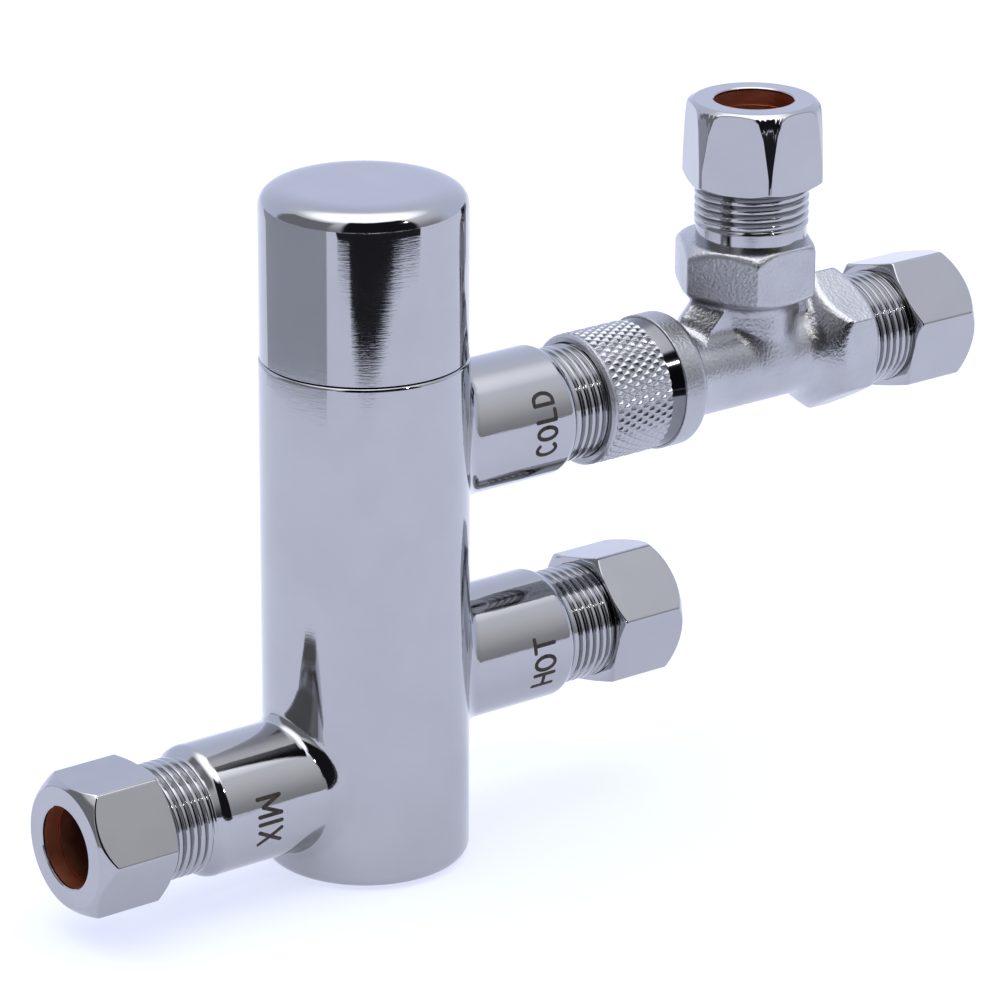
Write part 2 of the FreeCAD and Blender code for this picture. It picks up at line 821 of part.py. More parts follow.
def make_element():
    """The wax element: bulb in the mixed water, flange on the spider, bored neck."""
    body = make_body("wax_element")
    flange_start = bulb_length + s.element_body_length
    flange_end = flange_start + s.element_flange_thickness
    neck_end = flange_end + s.element_neck_length
    bore = s.piston_radius + s.sliding_gap
    bore_bottom = neck_end - s.piston_depth - s.piston_play
    revolve(body, "turned_body", [
        (0, 0),
        (s.bulb_radius - s.base_round, 0),
        (s.bulb_radius, s.base_round, s.base_round),
        (s.bulb_radius, bulb_length),
        (s.element_radius, bulb_length),
        (s.element_radius, flange_start),
        (s.element_flange_radius, flange_start),
        (s.element_flange_radius, flange_end),
        (s.element_neck_radius, flange_end),
        (s.element_neck_radius, neck_end),
        (bore, neck_end),
        (bore, bore_bottom),
        (0, bore_bottom),
    ])
    return place(body, z=element_top - neck_end)


def make_piston():
    """The element's piston, from inside its neck up to the pusher's foot."""
    rod = doc.addObject("Part::Cylinder", "element_piston")
    rod.Label = "element_piston"
    bottom = element_top - s.piston_depth
    rod.setExpression("Radius", s.piston_radius.text)
    rod.setExpression("Height", (pusher_foot - bottom).text)
    return place(rod, z=bottom)


def make_check(side, height):
    """One non-return cartridge: housing, guide, poppet, spring, seal and strainer."""
    housing = make_body(f"{side}_check_housing")
    outer = s.cartridge_bore_radius - s.sliding_gap
    seat_start = s.check_length - s.check_seat_thickness
    revolve(housing, "tube", [
        (0, s.check_bore_radius),
        (0, outer),
        (s.check_length, outer),
        (s.check_length, s.check_seat_radius),
        (seat_start, s.check_seat_radius),
        (seat_start, s.check_bore_radius),
    ], "H_Axis")
    seal_place = s.check_seal_place
    half = s.seal_groove_width / 2
    seal_floor = s.cartridge_bore_radius - s.check_groove_depth
    revolve(housing, "seal_groove", [
        (seal_place - half, seal_floor),
        (seal_place + half, seal_floor),
        (seal_place + half, s.cartridge_bore_radius),
        (seal_place - half, s.cartridge_bore_radius),
    ], "H_Axis", cut=True)
    place(housing, x=s.check_reach, z=height)

    guide = make_body(f"{side}_check_guide")
    revolve(guide, "disc", [
        (0, s.poppet_stem_radius + s.sliding_gap),
        (0, s.check_bore_radius - s.seal_gap),
        (s.check_guide_thickness, s.check_bore_radius - s.seal_gap),
        (s.check_guide_thickness, s.poppet_stem_radius + s.sliding_gap),
    ], "H_Axis")
    drill(guide, "waterways", s.spider_hole_radius, s.guide_hole_circle, GUIDE_HOLES,
          s.check_guide_thickness / 2, s.check_guide_thickness * 2, "YZ_Plane")
    place(guide, x=s.check_reach, z=height)

    poppet = make_body(f"{side}_check_poppet")
    face = seat_start - s.sliding_gap
    back = face - s.poppet_thickness
    stem_end = s.check_guide_thickness / 2
    revolve(poppet, "mushroom", [
        (stem_end, 0),
        (stem_end, s.poppet_stem_radius),
        (back, s.poppet_stem_radius),
        (back, s.poppet_radius),
        (face, s.poppet_radius),
        (face, 0),
    ], "H_Axis")
    place(poppet, x=s.check_reach, z=height)

    spring(f"{side}_check_spring", s.check_coil_radius, s.check_wire,
           back - s.check_guide_thickness, CHECK_TURNS,
           x=s.check_reach + s.check_guide_thickness, z=height, turn=Z_TO_PLUS_X)
    seal_ring(f"{side}_check_o_ring", seal_floor, s.cartridge_bore_radius, height,
              x=s.check_reach + seal_place, turn=Z_TO_PLUS_X)

    strainer = make_body(f"{side}_strainer")
    rim_inner = outer - s.strainer_rim
    revolve(strainer, "rim", [
        (0, 0),
        (0, outer),
        (s.strainer_thickness, outer),
        (s.strainer_thickness, rim_inner),
        (s.strainer_mesh, rim_inner),
        (s.strainer_mesh, 0),
    ], "H_Axis")
    drill(strainer, "mesh", s.strainer_hole_radius, s.strainer_hole_circle, STRAINER_HOLES,
          s.strainer_mesh / 2, s.strainer_mesh * 2, "YZ_Plane")
    place(strainer, x=s.check_reach + s.check_length + s.face_gap, z=height)


def make_nut(side, x, z, aim, phase):
    """A compression nut, drawn from its rear face out along +X."""
    body = make_body(f"{side}_nut")
    corner = s.nut_flats / ROOT_OF_THREE
    front = s.nut_length - s.nut_front_chamfer
    rear_radius = corner - s.nut_rear_chamfer * ROOT_OF_THREE
    outside = corner + s.nut_front_chamfer
    pad(body, "hexagon", hexagon(s.nut_flats, turned=True), s.nut_length, "YZ_Plane")
    revolve(body, "front_chamfer", [
        (front, corner),
        (s.nut_length, s.nut_face_radius),
        (s.nut_length, outside),
        (front, outside),
    ], "H_Axis", cut=True)
    revolve(body, "rear_chamfer", [
        (0, rear_radius),
        (s.nut_rear_chamfer, corner),
        (s.nut_rear_chamfer, outside),
        (0, outside),
    ], "H_Axis", cut=True)
    cone_end = s.nut_thread_depth + s.nut_cone_length
    hole_break = s.nut_length - s.nut_hole_break
    revolve(body, "thread_and_cone", [
        (0, 0),
        (0, nut_thread_bore),
        (s.nut_thread_depth, nut_thread_bore),
        (s.nut_thread_depth, s.nut_cone_radius),
        (cone_end, s.nut_hole_radius),
        (hole_break, s.nut_hole_radius),
        (s.nut_length, s.nut_hole_radius + s.nut_hole_break),
        (s.nut_length, 0),
    ], "H_Axis", cut=True)
    return place(body, x=x, z=z, turn=aim * Rotation(Vector(1, 0, 0), phase))


def make_ferrule(side, x, z, aim):
    """A ferrule between the socket's cone and the nut's, drawn from the nut's rear face."""
    body = make_body(f"{side}_ferrule")
    mouth_slope = (s.mouth_radius - s.socket_radius) / s.mouth_depth
    cone_slope = (s.nut_cone_radius - s.nut_hole_radius) / s.nut_cone_length
    rear = s.nut_engagement - s.ferrule_seat_depth
    front = rear + s.ferrule_length
    crown_rear = s.nut_engagement + s.ferrule_gap
    crown_front = s.nut_thread_depth + s.ferrule_crown_depth
    shoulder_radius = s.mouth_radius - s.ferrule_gap
    rear_radius = shoulder_radius - mouth_slope * s.ferrule_seat_depth
    crown_radius = s.nut_cone_radius - cone_slope * s.ferrule_crown_depth - s.ferrule_gap
    front_depth = front - s.nut_thread_depth
    front_radius = s.nut_cone_radius - cone_slope * front_depth - s.ferrule_gap
    revolve(body, "sleeve", [
        (rear, s.ferrule_bore_radius),
        (rear, rear_radius),
        (s.nut_engagement, shoulder_radius),
        (crown_rear, crown_radius),
        (crown_front, crown_radius),
        (front, front_radius),
        (front, s.ferrule_bore_radius),
    ], "H_Axis")
    return place(body, x=x, z=z, turn=aim)


def knurled_band(length, radius, depth):
    """A solid band whose outside is a net of pyramids, from crossed helical valleys."""
    columns, rows = 2 * KNURL_COLUMNS, 2 * KNURL_ROWS

    def node(row, column):
        reach = radius if (row + column) % 2 else radius - depth
        angle = 2 * math.pi * (column % columns) / columns
        return Vector(length * row / rows, reach * math.cos(angle), reach * math.sin(angle))

    faces = []
    for row in range(rows + 1):
        for column in range(columns):
            if (row + column) % 2 == 0:
                continue
            peak = node(row, column)
            west, east = node(row, column - 1), node(row, column + 1)
            for side in (-1, 1):
                if not 0 <= row + side <= rows:
                    continue
                tip = node(row + side, column)
                for foot in (west, east):
                    faces.append(Part.Face(Part.makePolygon([peak, tip, foot, peak])))
    for row in (0, rows):
        rim = [node(row, column) for column in range(columns + 1)]
        faces.append(Part.Face(Part.makePolygon(rim)))
    band = Part.makeSolid(Part.makeShell(faces))
    if band.Volume < 0:
        band.reverse()
    return band


def make_union_nut():
    """The knurled coupling nut: rim, knurl, plain groove, rounded collar, stepped bore."""
    along = Vector(1, 0, 0)
    rim = s.union_rim.value
    knurl = knurled_band(s.knurl_length.value, s.knurl_radius.value, s.knurl_depth.value)
    knurl.translate(along * rim)
    knurl_end = rim + s.knurl_length.value
    groove_end = knurl_end + s.union_groove_length.value
    length = s.union_length.value
    lip_start = length - s.union_lip.value
    valley = s.knurl_radius.value - s.knurl_depth.value
    entry = Part.makeCone(valley - rim, valley, rim, Vector(0, 0, 0), along)
    groove = Part.makeCylinder(s.union_groove_radius.value, groove_end - knurl_end,
                               along * knurl_end, along)
    collar = Part.makeCylinder(s.union_collar_radius.value, length - groove_end,
                               along * groove_end, along)
    collar = collar.makeFillet(s.union_collar_round.value, [
        edge for edge in collar.Edges if edge.Curve.TypeId == "Part::GeomCircle"
    ])
    pocket = Part.makeCylinder(nut_thread_bore.value, lip_start, Vector(0, 0, 0), along)
    hole = Part.makeCylinder(s.tail_radius.value + s.sliding_gap.value * 2, length,
                             Vector(0, 0, 0), along)
    shape = entry.fuse([knurl, groove, collar]).cut(pocket).cut(hole)
    item = doc.addObject("Part::Feature", "union_nut")
    item.Label = "union_nut"
    item.Shape = shape.removeSplitter()
    item.Placement = Placement(Vector(union_reach.value, 0, s.cold_height.value), Rotation())
    return item


# The lip of the knurled nut, the split ring behind it and the tail share these places.
union_lip_face = union_end - s.union_lip
ring_end = union_lip_face - s.sliding_gap
ring_start = ring_end - s.union_ring_thickness
tail_nose = s.spigot_reach + s.tail_clearance + s.sliding_gap
neck_start = union_end + s.neck_clearance - tee_reach


def make_union_ring():
    """The split ring in the tail's groove that the knurled nut pulls on."""
    body = make_body("union_ring")
    inner = s.union_ring_groove_radius + s.face_gap
    revolve(body, "ring", [
        (0, inner),
        (0, s.union_ring_radius),
        (s.union_ring_thickness, s.union_ring_radius),
        (s.union_ring_thickness, inner),
    ], "H_Axis")
    return place(body, x=ring_start, z=s.cold_height)


def make_union_seal():
    """The cone washer in the mouth of the cold spigot, backed by the tail's nose."""
    body = make_body("union_seal")
    mouth_slope = (s.mouth_radius - s.cartridge_bore_radius) / s.mouth_depth
    depth = s.ferrule_seat_depth
    flat = depth + s.tail_clearance
    large = s.mouth_radius - s.ferrule_gap
    small = large - mouth_slope * depth
    revolve(body, "cone", [
        (0, s.seal_bore_radius),
        (0, small),
        (depth, large),
        (flat, large),
        (flat, s.seal_bore_radius),
    ], "H_Axis")
    return place(body, x=s.spigot_reach - depth, z=s.cold_height)


def make_tee():
    """The forged tee: tail, run and branch with hexagonal collars and parting-line webs."""
    body = make_body("tee_body")
    tail = tail_nose - tee_reach
    groove_start = ring_start - s.sliding_gap - tee_reach
    groove_end = ring_end + s.sliding_gap - tee_reach
    revolve(body, "run", [
        (tail, 0),
        (tail, s.tail_radius),
        (groove_start, s.tail_radius),
        (groove_start, s.union_ring_groove_radius),
        (groove_end, s.union_ring_groove_radius),
        (groove_end, s.tail_radius),
        (neck_start, s.tail_radius),
        (neck_start, s.tee_run_radius),
        (s.run_collar_end, s.tee_run_radius),
        (s.run_collar_end, s.thread_radius),
        (s.tee_run_length, s.thread_radius),
        (s.tee_run_length, 0),
    ], "H_Axis")
    relief_end = s.branch_collar_end + s.branch_relief_length
    revolve(body, "branch", [
        (0, 0),
        (s.tee_branch_radius, 0),
        (s.tee_branch_radius, s.branch_collar_end),
        (s.branch_relief_radius, s.branch_collar_end),
        (s.branch_relief_radius, relief_end),
        (s.thread_radius, relief_end),
        (s.thread_radius, s.tee_branch_length),
        (0, s.tee_branch_length),
    ])
    add_run_collar(body)
    add_branch_collar(body)
    add_webs(body)
    inlet = s.tee_run_length
    revolve(body, "run_socket", socket_outline(1, as_size(0), s.port_radius, inlet),
            "H_Axis", cut=True)
    revolve(body, "tail_bore", [
        (tail, 0),
        (tail, s.tail_bore_radius),
        (0, s.tail_bore_radius),
        (0, 0),
    ], "H_Axis", cut=True)
    flipped = [(radius, along) for along, radius in
               socket_outline(1, as_size(0), s.port_radius, s.tee_branch_length)]
    revolve(body, "branch_socket", flipped, cut=True)
    return place(body, x=tee_reach, z=s.cold_height)


def add_run_collar(body):
    """The run's hexagon, a corner up, drawn out from the run by its draft."""
    corner = s.nut_flats / ROOT_OF_THREE
    start = s.run_collar_start - s.run_collar_draft
    outside = corner + s.nut_front_chamfer
    pad(body, "run_hexagon", hexagon(s.nut_flats, turned=True), s.run_collar_end - start,
        "YZ_Plane", lift=("z", start))
    revolve(body, "run_draft", [
        (start, s.tee_run_radius),
        (s.run_collar_start, corner),
        (s.run_collar_start, outside),
        (start, outside),
    ], "H_Axis", cut=True)
    revolve(body, "run_chamfer", [
        (s.run_collar_end - s.nut_rear_chamfer, corner),
        (s.run_collar_end, corner - s.nut_rear_chamfer * ROOT_OF_THREE),
        (s.run_collar_end, outside),
        (s.run_collar_end - s.nut_rear_chamfer, outside),
    ], "H_Axis", cut=True)


def add_branch_collar(body):
    """The branch's hexagon, set towards the tail, drawn out from the branch by its draft."""
    corner = s.branch_collar_flats / ROOT_OF_THREE + s.branch_collar_shift
    start = s.branch_collar_start - s.branch_collar_draft
    outside = corner + s.nut_front_chamfer
    pad(body, "branch_hexagon", hexagon(s.branch_collar_flats, -s.branch_collar_shift),
        s.branch_collar_end - start, lift=("z", start))
    revolve(body, "branch_draft", [
        (s.tee_branch_radius + s.branch_collar_draft, start),
        (corner, s.branch_collar_start),
        (outside, s.branch_collar_start),
        (outside, start),
    ], cut=True)
    revolve(body, "branch_chamfer", [
        (corner, s.branch_collar_end - s.nut_rear_chamfer),
        (corner - s.nut_rear_chamfer * ROOT_OF_THREE, s.branch_collar_end),
        (outside, s.branch_collar_end),
        (outside, s.branch_collar_end - s.nut_rear_chamfer),
    ], cut=True)


def add_webs(body):
    """The webs that fill both crotches along the parting line."""
    drafted_web(body, "left_web", [
        (0, 0),
        (0, s.left_web_top),
        (-s.left_web_top_reach, s.left_web_top),
        (-s.left_web_reach, s.left_web_height),
        (neck_start, s.tee_run_radius),
        (neck_start, 0),
    ])
    drafted_web(body, "right_web", [
        (0, 0),
        (s.run_collar_start, 0),
        (s.run_collar_start, s.right_web_height),
        (s.right_web_top_reach, s.branch_collar_start),
        (0, s.branch_collar_start),
    ])


make_valve_body()
make_cap()
make_bonnet()
make_spindle()
make_spring_cup()
make_pusher()
make_shuttle()
make_element()
make_piston()
make_flat_ring("pusher_circlip", s.pusher_ring_inner, s.pusher_ring_outer,
               s.pusher_ring_thickness, cup_bottom + s.pusher_ring_inset)
make_flat_ring("spindle_circlip", s.circlip_groove_radius + s.sliding_gap, s.circlip_radius,
               s.circlip_thickness, bonnet_top + s.sliding_gap * 2)
seal_ring("cap_o_ring", s.neck_radius - s.seal_groove_depth,
          s.neck_radius + s.sliding_gap, body_height + s.neck_height / 2)
seal_ring("bonnet_o_ring", s.land_radius - s.seal_groove_depth, s.land_radius,
          (cold_annulus_top + land_top) / 2)
seal_ring("spindle_o_ring", s.spindle_groove_radius, s.journal_radius + s.sliding_gap,
          (spindle_collar_top + bonnet_top + s.sliding_gap) / 2)
seal_ring("shuttle_o_ring", s.shuttle_radius - s.seal_groove_depth, shuttle_bore_radius,
          shuttle_bottom + shuttle_rib_start + s.shuttle_rib_length / 2)
spring("return_spring", s.return_coil_radius, s.return_wire,
       shuttle_bottom + s.shuttle_lip_height - s.floor_thickness, RETURN_TURNS,
       z=s.floor_thickness)
spring("overtravel_spring", s.overtravel_coil_radius, s.overtravel_wire,
       cup_top - s.cup_web - pusher_seat - s.pusher_thickness, OVERTRAVEL_TURNS,
       z=pusher_seat + s.pusher_thickness)
make_check("hot", s.hot_height)
make_check("cold", s.cold_height)

run_nut_reach = tee_reach + s.tee_run_length - s.nut_engagement
branch_nut_height = s.cold_height + s.tee_branch_length - s.nut_engagement
make_nut("mix", -nut_reach, s.mix_height, TO_MINUS_X, HEX_PHASE["mix"])
make_nut("hot", nut_reach, s.hot_height, TO_PLUS_X, HEX_PHASE["hot"])
make_nut("run", run_nut_reach, s.cold_height, TO_PLUS_X, HEX_PHASE["run"])
make_nut("branch", tee_reach, branch_nut_height, TO_PLUS_Z, HEX_PHASE["branch"])
make_ferrule("mix", -nut_reach, s.mix_height, TO_MINUS_X)
make_ferrule("hot", nut_reach, s.hot_height, TO_PLUS_X)
make_ferrule("run", run_nut_reach, s.cold_height, TO_PLUS_X)
make_ferrule("branch", tee_reach, branch_nut_height, TO_PLUS_Z)
make_union_nut()
make_union_ring()
make_union_seal()
make_tee()

doc.recompute()


def sub_parts():
    """Every finished piece: bodies, primitives and computed shapes, without their features."""
    kinds = ("PartDesign::Body", "Part::Cylinder", "Part::Torus", "Part::Feature")
    return [item for item in doc.Objects if item.TypeId in kinds]


def check_document():
    """Stops with a plain message when any object failed."""
    for item in doc.Objects:
        if "Invalid" in item.State or "Error" in item.State:
            raise RuntimeError(f"{item.Label}: {item.State}")
    for item in sub_parts():
        if item.Shape.isNull() or not item.Shape.isValid():
            raise RuntimeError(f"{item.Label}: no valid shape")


check_document()
os.makedirs(PARTS_FOLDER, exist_ok=True)
for part in sub_parts():
    part.Shape.exportStep(f"{PARTS_FOLDER}/{part.Label}.step")
print(len(sub_parts()), "pieces written")
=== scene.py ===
import logging
import math
from dataclasses import dataclass, field
from enum import Enum
from typing import Callable, Sequence

import bpy
import numpy as np
from mathutils import Matrix, Vector


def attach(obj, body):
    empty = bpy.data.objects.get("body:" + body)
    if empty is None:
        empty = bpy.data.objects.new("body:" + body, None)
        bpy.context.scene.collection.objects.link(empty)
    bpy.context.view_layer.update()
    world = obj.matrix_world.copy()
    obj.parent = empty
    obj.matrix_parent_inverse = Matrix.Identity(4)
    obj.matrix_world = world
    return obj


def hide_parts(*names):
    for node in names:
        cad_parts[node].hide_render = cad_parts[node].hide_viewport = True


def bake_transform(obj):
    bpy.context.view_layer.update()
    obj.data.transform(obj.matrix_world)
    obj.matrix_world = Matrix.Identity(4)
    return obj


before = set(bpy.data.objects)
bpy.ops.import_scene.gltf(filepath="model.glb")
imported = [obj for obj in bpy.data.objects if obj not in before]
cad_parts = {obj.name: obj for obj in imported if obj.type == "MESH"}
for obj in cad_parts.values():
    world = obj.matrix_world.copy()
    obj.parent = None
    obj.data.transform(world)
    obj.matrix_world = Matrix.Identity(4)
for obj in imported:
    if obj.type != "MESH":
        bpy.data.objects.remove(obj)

log = logging.getLogger("mixing_valve")
MM = 0.001
LEAST_LENGTH = 1e-9
LEAST_AREA = 1e-7
Array = np.ndarray
Place = tuple[float, float, float]
Profile = Sequence[tuple[float, ...]]


class Port(Enum):
    """The threaded ends that take a compression nut."""

    MIX = "mix"
    HOT = "hot"
    RUN = "run"
    BRANCH = "branch"


@dataclass(frozen=True)
class Axis:
    """A line to turn a profile about, in millimetres."""

    origin: Place
    along: Place
    across: Place

    @property
    def third(self) -> Array:
        """The direction at a right angle to the axis and to where its angles start."""
        return np.cross(np.array(self.along, float), np.array(self.across, float))

    def directions(self, along: Array, out: Array, angle: Array) -> Array:
        """Vectors with a part along the axis and a part out from it.

        Args:
            along: The parts along the axis.
            out: The parts away from the axis.
            angle: The angles about the axis, in radians.

        Returns:
            The vectors, with the three components last.
        """
        forward, side = np.array(self.along, float), np.array(self.across, float)
        parts = np.broadcast_arrays(along, out, angle)
        along, out, angle = (part[..., None] for part in parts)
        return along * forward + out * (np.cos(angle) * side + np.sin(angle) * self.third)

    def places(self, along: Array, out: Array, angle: Array) -> Array:
        """Points given by their distance along the axis, radius and angle.

        Args:
            along: Distances along the axis.
            out: Radii.
            angle: Angles about the axis, in radians.

        Returns:
            The points, with the three coordinates last.
        """
        return self.directions(along, out, angle) + np.array(self.origin, float)


UP: Place = (0.0, 0.0, 1.0)
COLUMN = Axis((0.0, 0.0, 0.0), UP, (1.0, 0.0, 0.0))


def along_x(x: float, z: float, sign: float = 1.0) -> Axis:
    """The axis of a horizontal port, pointing out along X."""
    return Axis((x, 0.0, z), (sign, 0.0, 0.0), UP)


def along_z(x: float, z: float) -> Axis:
    """The axis of an upright port."""
    return Axis((x, 0.0, z), UP, (1.0, 0.0, 0.0))


@dataclass
class Skin:
    """A mesh in the making, in millimetres: points, their normals, and faces with a finish."""

    points: list[Array] = field(default_factory=list)
    normals: list[Array] = field(default_factory=list)
    faces: list[Array] = field(default_factory=list)
    slots: list[Array] = field(default_factory=list)
    count: int = 0

    def add(self, points: Array, normals: Array, faces: Array, slot: int = 0) -> None:
        """Adds one island.

        Args:
            points: The points, one row each.
            normals: Their normals.
            faces: Rows of three or four indices into these points.
            slot: Which of the piece's finishes the faces take.
        """
        self.points.append(points)
        self.normals.append(normals)
        self.faces.append(faces + self.count)
        self.slots.append(np.full(len(faces), slot))
        self.count += len(points)

    def add_grid(self, points: Array, normals: Array, closed: bool, slot: int = 0) -> None:
        """Adds a grid of quads, leaving out those of no size.

        Args:
            points: Rows of points, each row running round.
            normals: Their normals.
            closed: Whether each row joins up with its own start.
            slot: Which of the piece's finishes the faces take.
        """
        rows, columns = points.shape[:2]
        index = np.arange(rows * columns).reshape(rows, columns)
        right = np.roll(index, -1, axis=1)
        if not closed:
            index, right = index[:, :-1], right[:, :-1]
        faces = np.stack([index[:-1], right[:-1], right[1:], index[1:]], -1).reshape(-1, 4)
        flat = points.reshape(-1, 3)
        one = flat[faces[:, 2]] - flat[faces[:, 0]]
        other = flat[faces[:, 3]] - flat[faces[:, 1]]
        sized = np.linalg.norm(np.cross(one, other), axis=1) > LEAST_AREA
        self.add(flat, normals.reshape(-1, 3), faces[sized], slot)

    def make(self, name: str, finishes: Sequence[bpy.types.Material]) -> bpy.types.Object:
        """Makes the object.

        Args:
            name: The piece's name.
            finishes: The materials that the slots stand for.

        Returns:
            The object, linked to the scene, at the origin.
        """
        mesh = bpy.data.meshes.new(name)
        faces = [face for island in self.faces for face in island.tolist()]
        mesh.from_pydata((np.concatenate(self.points) * MM).tolist(), [], faces)
        for finish in finishes:
            mesh.materials.append(finish)
        mesh.polygons.foreach_set("material_index", np.concatenate(self.slots).astype(np.int32))
        mesh.shade_smooth()
        normals = np.concatenate(self.normals)
        normals /= np.maximum(np.linalg.norm(normals, axis=1, keepdims=True), LEAST_LENGTH)
        mesh.normals_split_custom_set_from_vertices(normals.tolist())
        piece = bpy.data.objects.new(name, mesh)
        bpy.context.scene.collection.objects.link(piece)
        log.info("%s: %d faces", name, len(faces))
        return piece


LEAST_TURN = 1e-3
MOST_OF_LEG = 0.49
ROUND_STEPS = (2.5, 3.0)


def eased(corners: Profile) -> tuple[Array, Array]:
    """A path through corners, each rounded where it has a third value.

    Args:
        corners: Distance along the axis, radius and, where the corner is rounded, its round.

    Returns:
        The path's points and the normals on its left, row by row.
    """
    spots = [np.array(corner[:2], float) for corner in corners]
    rounds = [corner[2] if len(corner) == 3 else 0.0 for corner in corners]
    points: list[Array] = []
    normals: list[Array] = []
    ways = [end - start for start, end in zip(spots, spots[1:])]
    lengths = [float(np.linalg.norm(way)) for way in ways]
    lefts = [np.array([-way[1], way[0]]) / size for way, size in zip(ways, lengths)]
    points.append(spots[0])
    normals.append(lefts[0])
    for index in range(1, len(spots) - 1):
        before, after = lefts[index - 1], lefts[index]
        turn = math.atan2(before[0] * after[1] - before[1] * after[0], float(before @ after))
        if rounds[index] <= 0.0 or abs(turn) < LEAST_TURN:
            points += [spots[index]] * 2
            normals += [before, after]
            continue
        reach = rounds[index] * math.tan(abs(turn) / 2)
        reach = min(reach, MOST_OF_LEG * lengths[index - 1], MOST_OF_LEG * lengths[index])
        radius = math.copysign(reach / math.tan(abs(turn) / 2), turn)
        forward = ways[index - 1] / lengths[index - 1]
        centre = spots[index] - forward * reach + before * radius
        fineness = ROUND_STEPS[0] + ROUND_STEPS[1] * math.sqrt(abs(radius))
        steps = max(3, round(abs(turn) * fineness))
        for step in range(steps + 1):
            angle = turn * step / steps
            cosine, sine = math.cos(angle), math.sin(angle)
            normal = np.array([cosine * before[0] - sine * before[1],
                               sine * before[0] + cosine * before[1]])
            points.append(centre - normal * radius)
            normals.append(normal)
    points.append(spots[-1])
    normals.append(lefts[-1])
    return np.array(points), np.array(normals)


def turned(skin: Skin, axis: Axis, corners: Profile, slot: int = 0,
           steps: int = 128) -> None:
    """Adds a profile turned about an axis, its outside on the left of its way.

    Args:
        skin: The mesh that gets it.
        axis: What it turns about.
        corners: The profile, as eased takes it.
        slot: Which of the piece's finishes it takes.
        steps: How many segments go round.
    """
    swept(skin, axis, *eased(corners), slot, steps)


def swept(skin: Skin, axis: Axis, path: Array, facing: Array, slot: int = 0,
          steps: int = 128) -> None:
    """Adds a path of points turned about an axis.

    Args:
        skin: The mesh that gets it.
        axis: What it turns about.
        path: The points, as distance along the axis and radius.
        facing: Their normals, in the same way.
        slot: Which of the piece's finishes it takes.
        steps: How many segments go round.
    """
    angles = np.linspace(0, 2 * math.pi, steps, endpoint=False)[None, :]
    points = axis.places(path[:, :1], path[:, 1:], angles)
    normals = axis.directions(facing[:, :1], facing[:, 1:], angles)
    skin.add_grid(points, normals, True, slot)


@dataclass(frozen=True)
class Thread:
    """An external screw thread with plated, softened crests.

    The profile gives shares of a turn with the share of the depth cut there.
    """

    crest: float = 7.1
    pitch: float = 1.0583
    depth: float = 0.5
    profile: tuple[tuple[float, float], ...] = (
        (0.0, 0.0), (0.07, 0.0), (0.2, 0.0), (0.33, 0.0), (0.4, 0.05), (0.52, 0.5),
        (0.64, 0.95), (0.7, 1.0), (0.78, 0.95), (0.86, 0.5), (0.94, 0.05))
    runout: float = 0.9
    chamfer: float = 0.7
    chamfer_slope: float = 0.9
    flattest: float = 1e-6
    steepest: float = 2.0
    steps: int = 96

    def cut(self, skin: Skin, axis: Axis, start: float, end: float, slot: int = 0) -> None:
        """Adds the thread along an axis, run out at its start and chamfered at its end.

        Args:
            skin: The mesh that gets it.
            axis: The spigot's axis, pointing out.
            start: Where the thread begins along the axis.
            end: The spigot's end.
            slot: Which of the piece's finishes it takes.
        """
        shares, depths = np.array(self.profile).T
        turns = math.ceil((end - start) / self.pitch) + 1
        place = (np.arange(-1, turns)[:, None] + shares[None, :]).reshape(-1, 1)
        depth = np.tile(depths, turns + 1).reshape(-1, 1)
        angles = np.linspace(0, 2 * math.pi, self.steps + 1)[None, :]
        along = start + self.pitch * (place + angles / (2 * math.pi))
        kept = np.clip(along, start, end)
        grown = np.clip((kept - start) / self.runout, 0.0, 1.0)
        radius = self.crest - self.depth * depth * grown * grown * (3 - 2 * grown)
        past = np.clip(kept - (end - self.chamfer), 0.0, None)
        radius = np.minimum(radius, self.crest - past * self.chamfer_slope)
        normals = self.normals(axis, kept, radius, angles)
        skin.add_grid(axis.places(kept, radius, angles), normals, False, slot)

    def normals(self, axis: Axis, along: Array, radius: Array, angles: Array) -> Array:
        """Normals from the slope of the radius along the axis.

        Args:
            axis: The thread's axis.
            along: Distances along it.
            radius: The radius at each.
            angles: The angles about it.

        Returns:
            The normals.
        """
        rise = np.gradient(radius, axis=0)
        run = np.gradient(along, axis=0)
        slope = np.where(run > self.flattest, rise / np.maximum(run, self.flattest), 0.0)
        slope = np.clip(slope, -self.steepest, self.steepest)
        return axis.directions(-slope, np.ones_like(slope), angles)


Field = Callable[[Array, Array, Array], Array]


def joined(one: Array, other: Array, radius: float) -> Array:
    """The distance to two solids joined with a fillet.

    Args:
        one: The distance to one of them.
        other: The distance to the other.
        radius: The fillet's radius.

    Returns:
        The distance to both.
    """
    near = np.maximum(radius - one, 0.0)
    far = np.maximum(radius - other, 0.0)
    return np.maximum(radius, np.minimum(one, other)) - np.hypot(near, far)


def shared(one: Array, other: Array, radius: float) -> Array:
    """The distance to what two solids share, its edges rounded by this radius."""
    return -joined(-one, -other, radius)


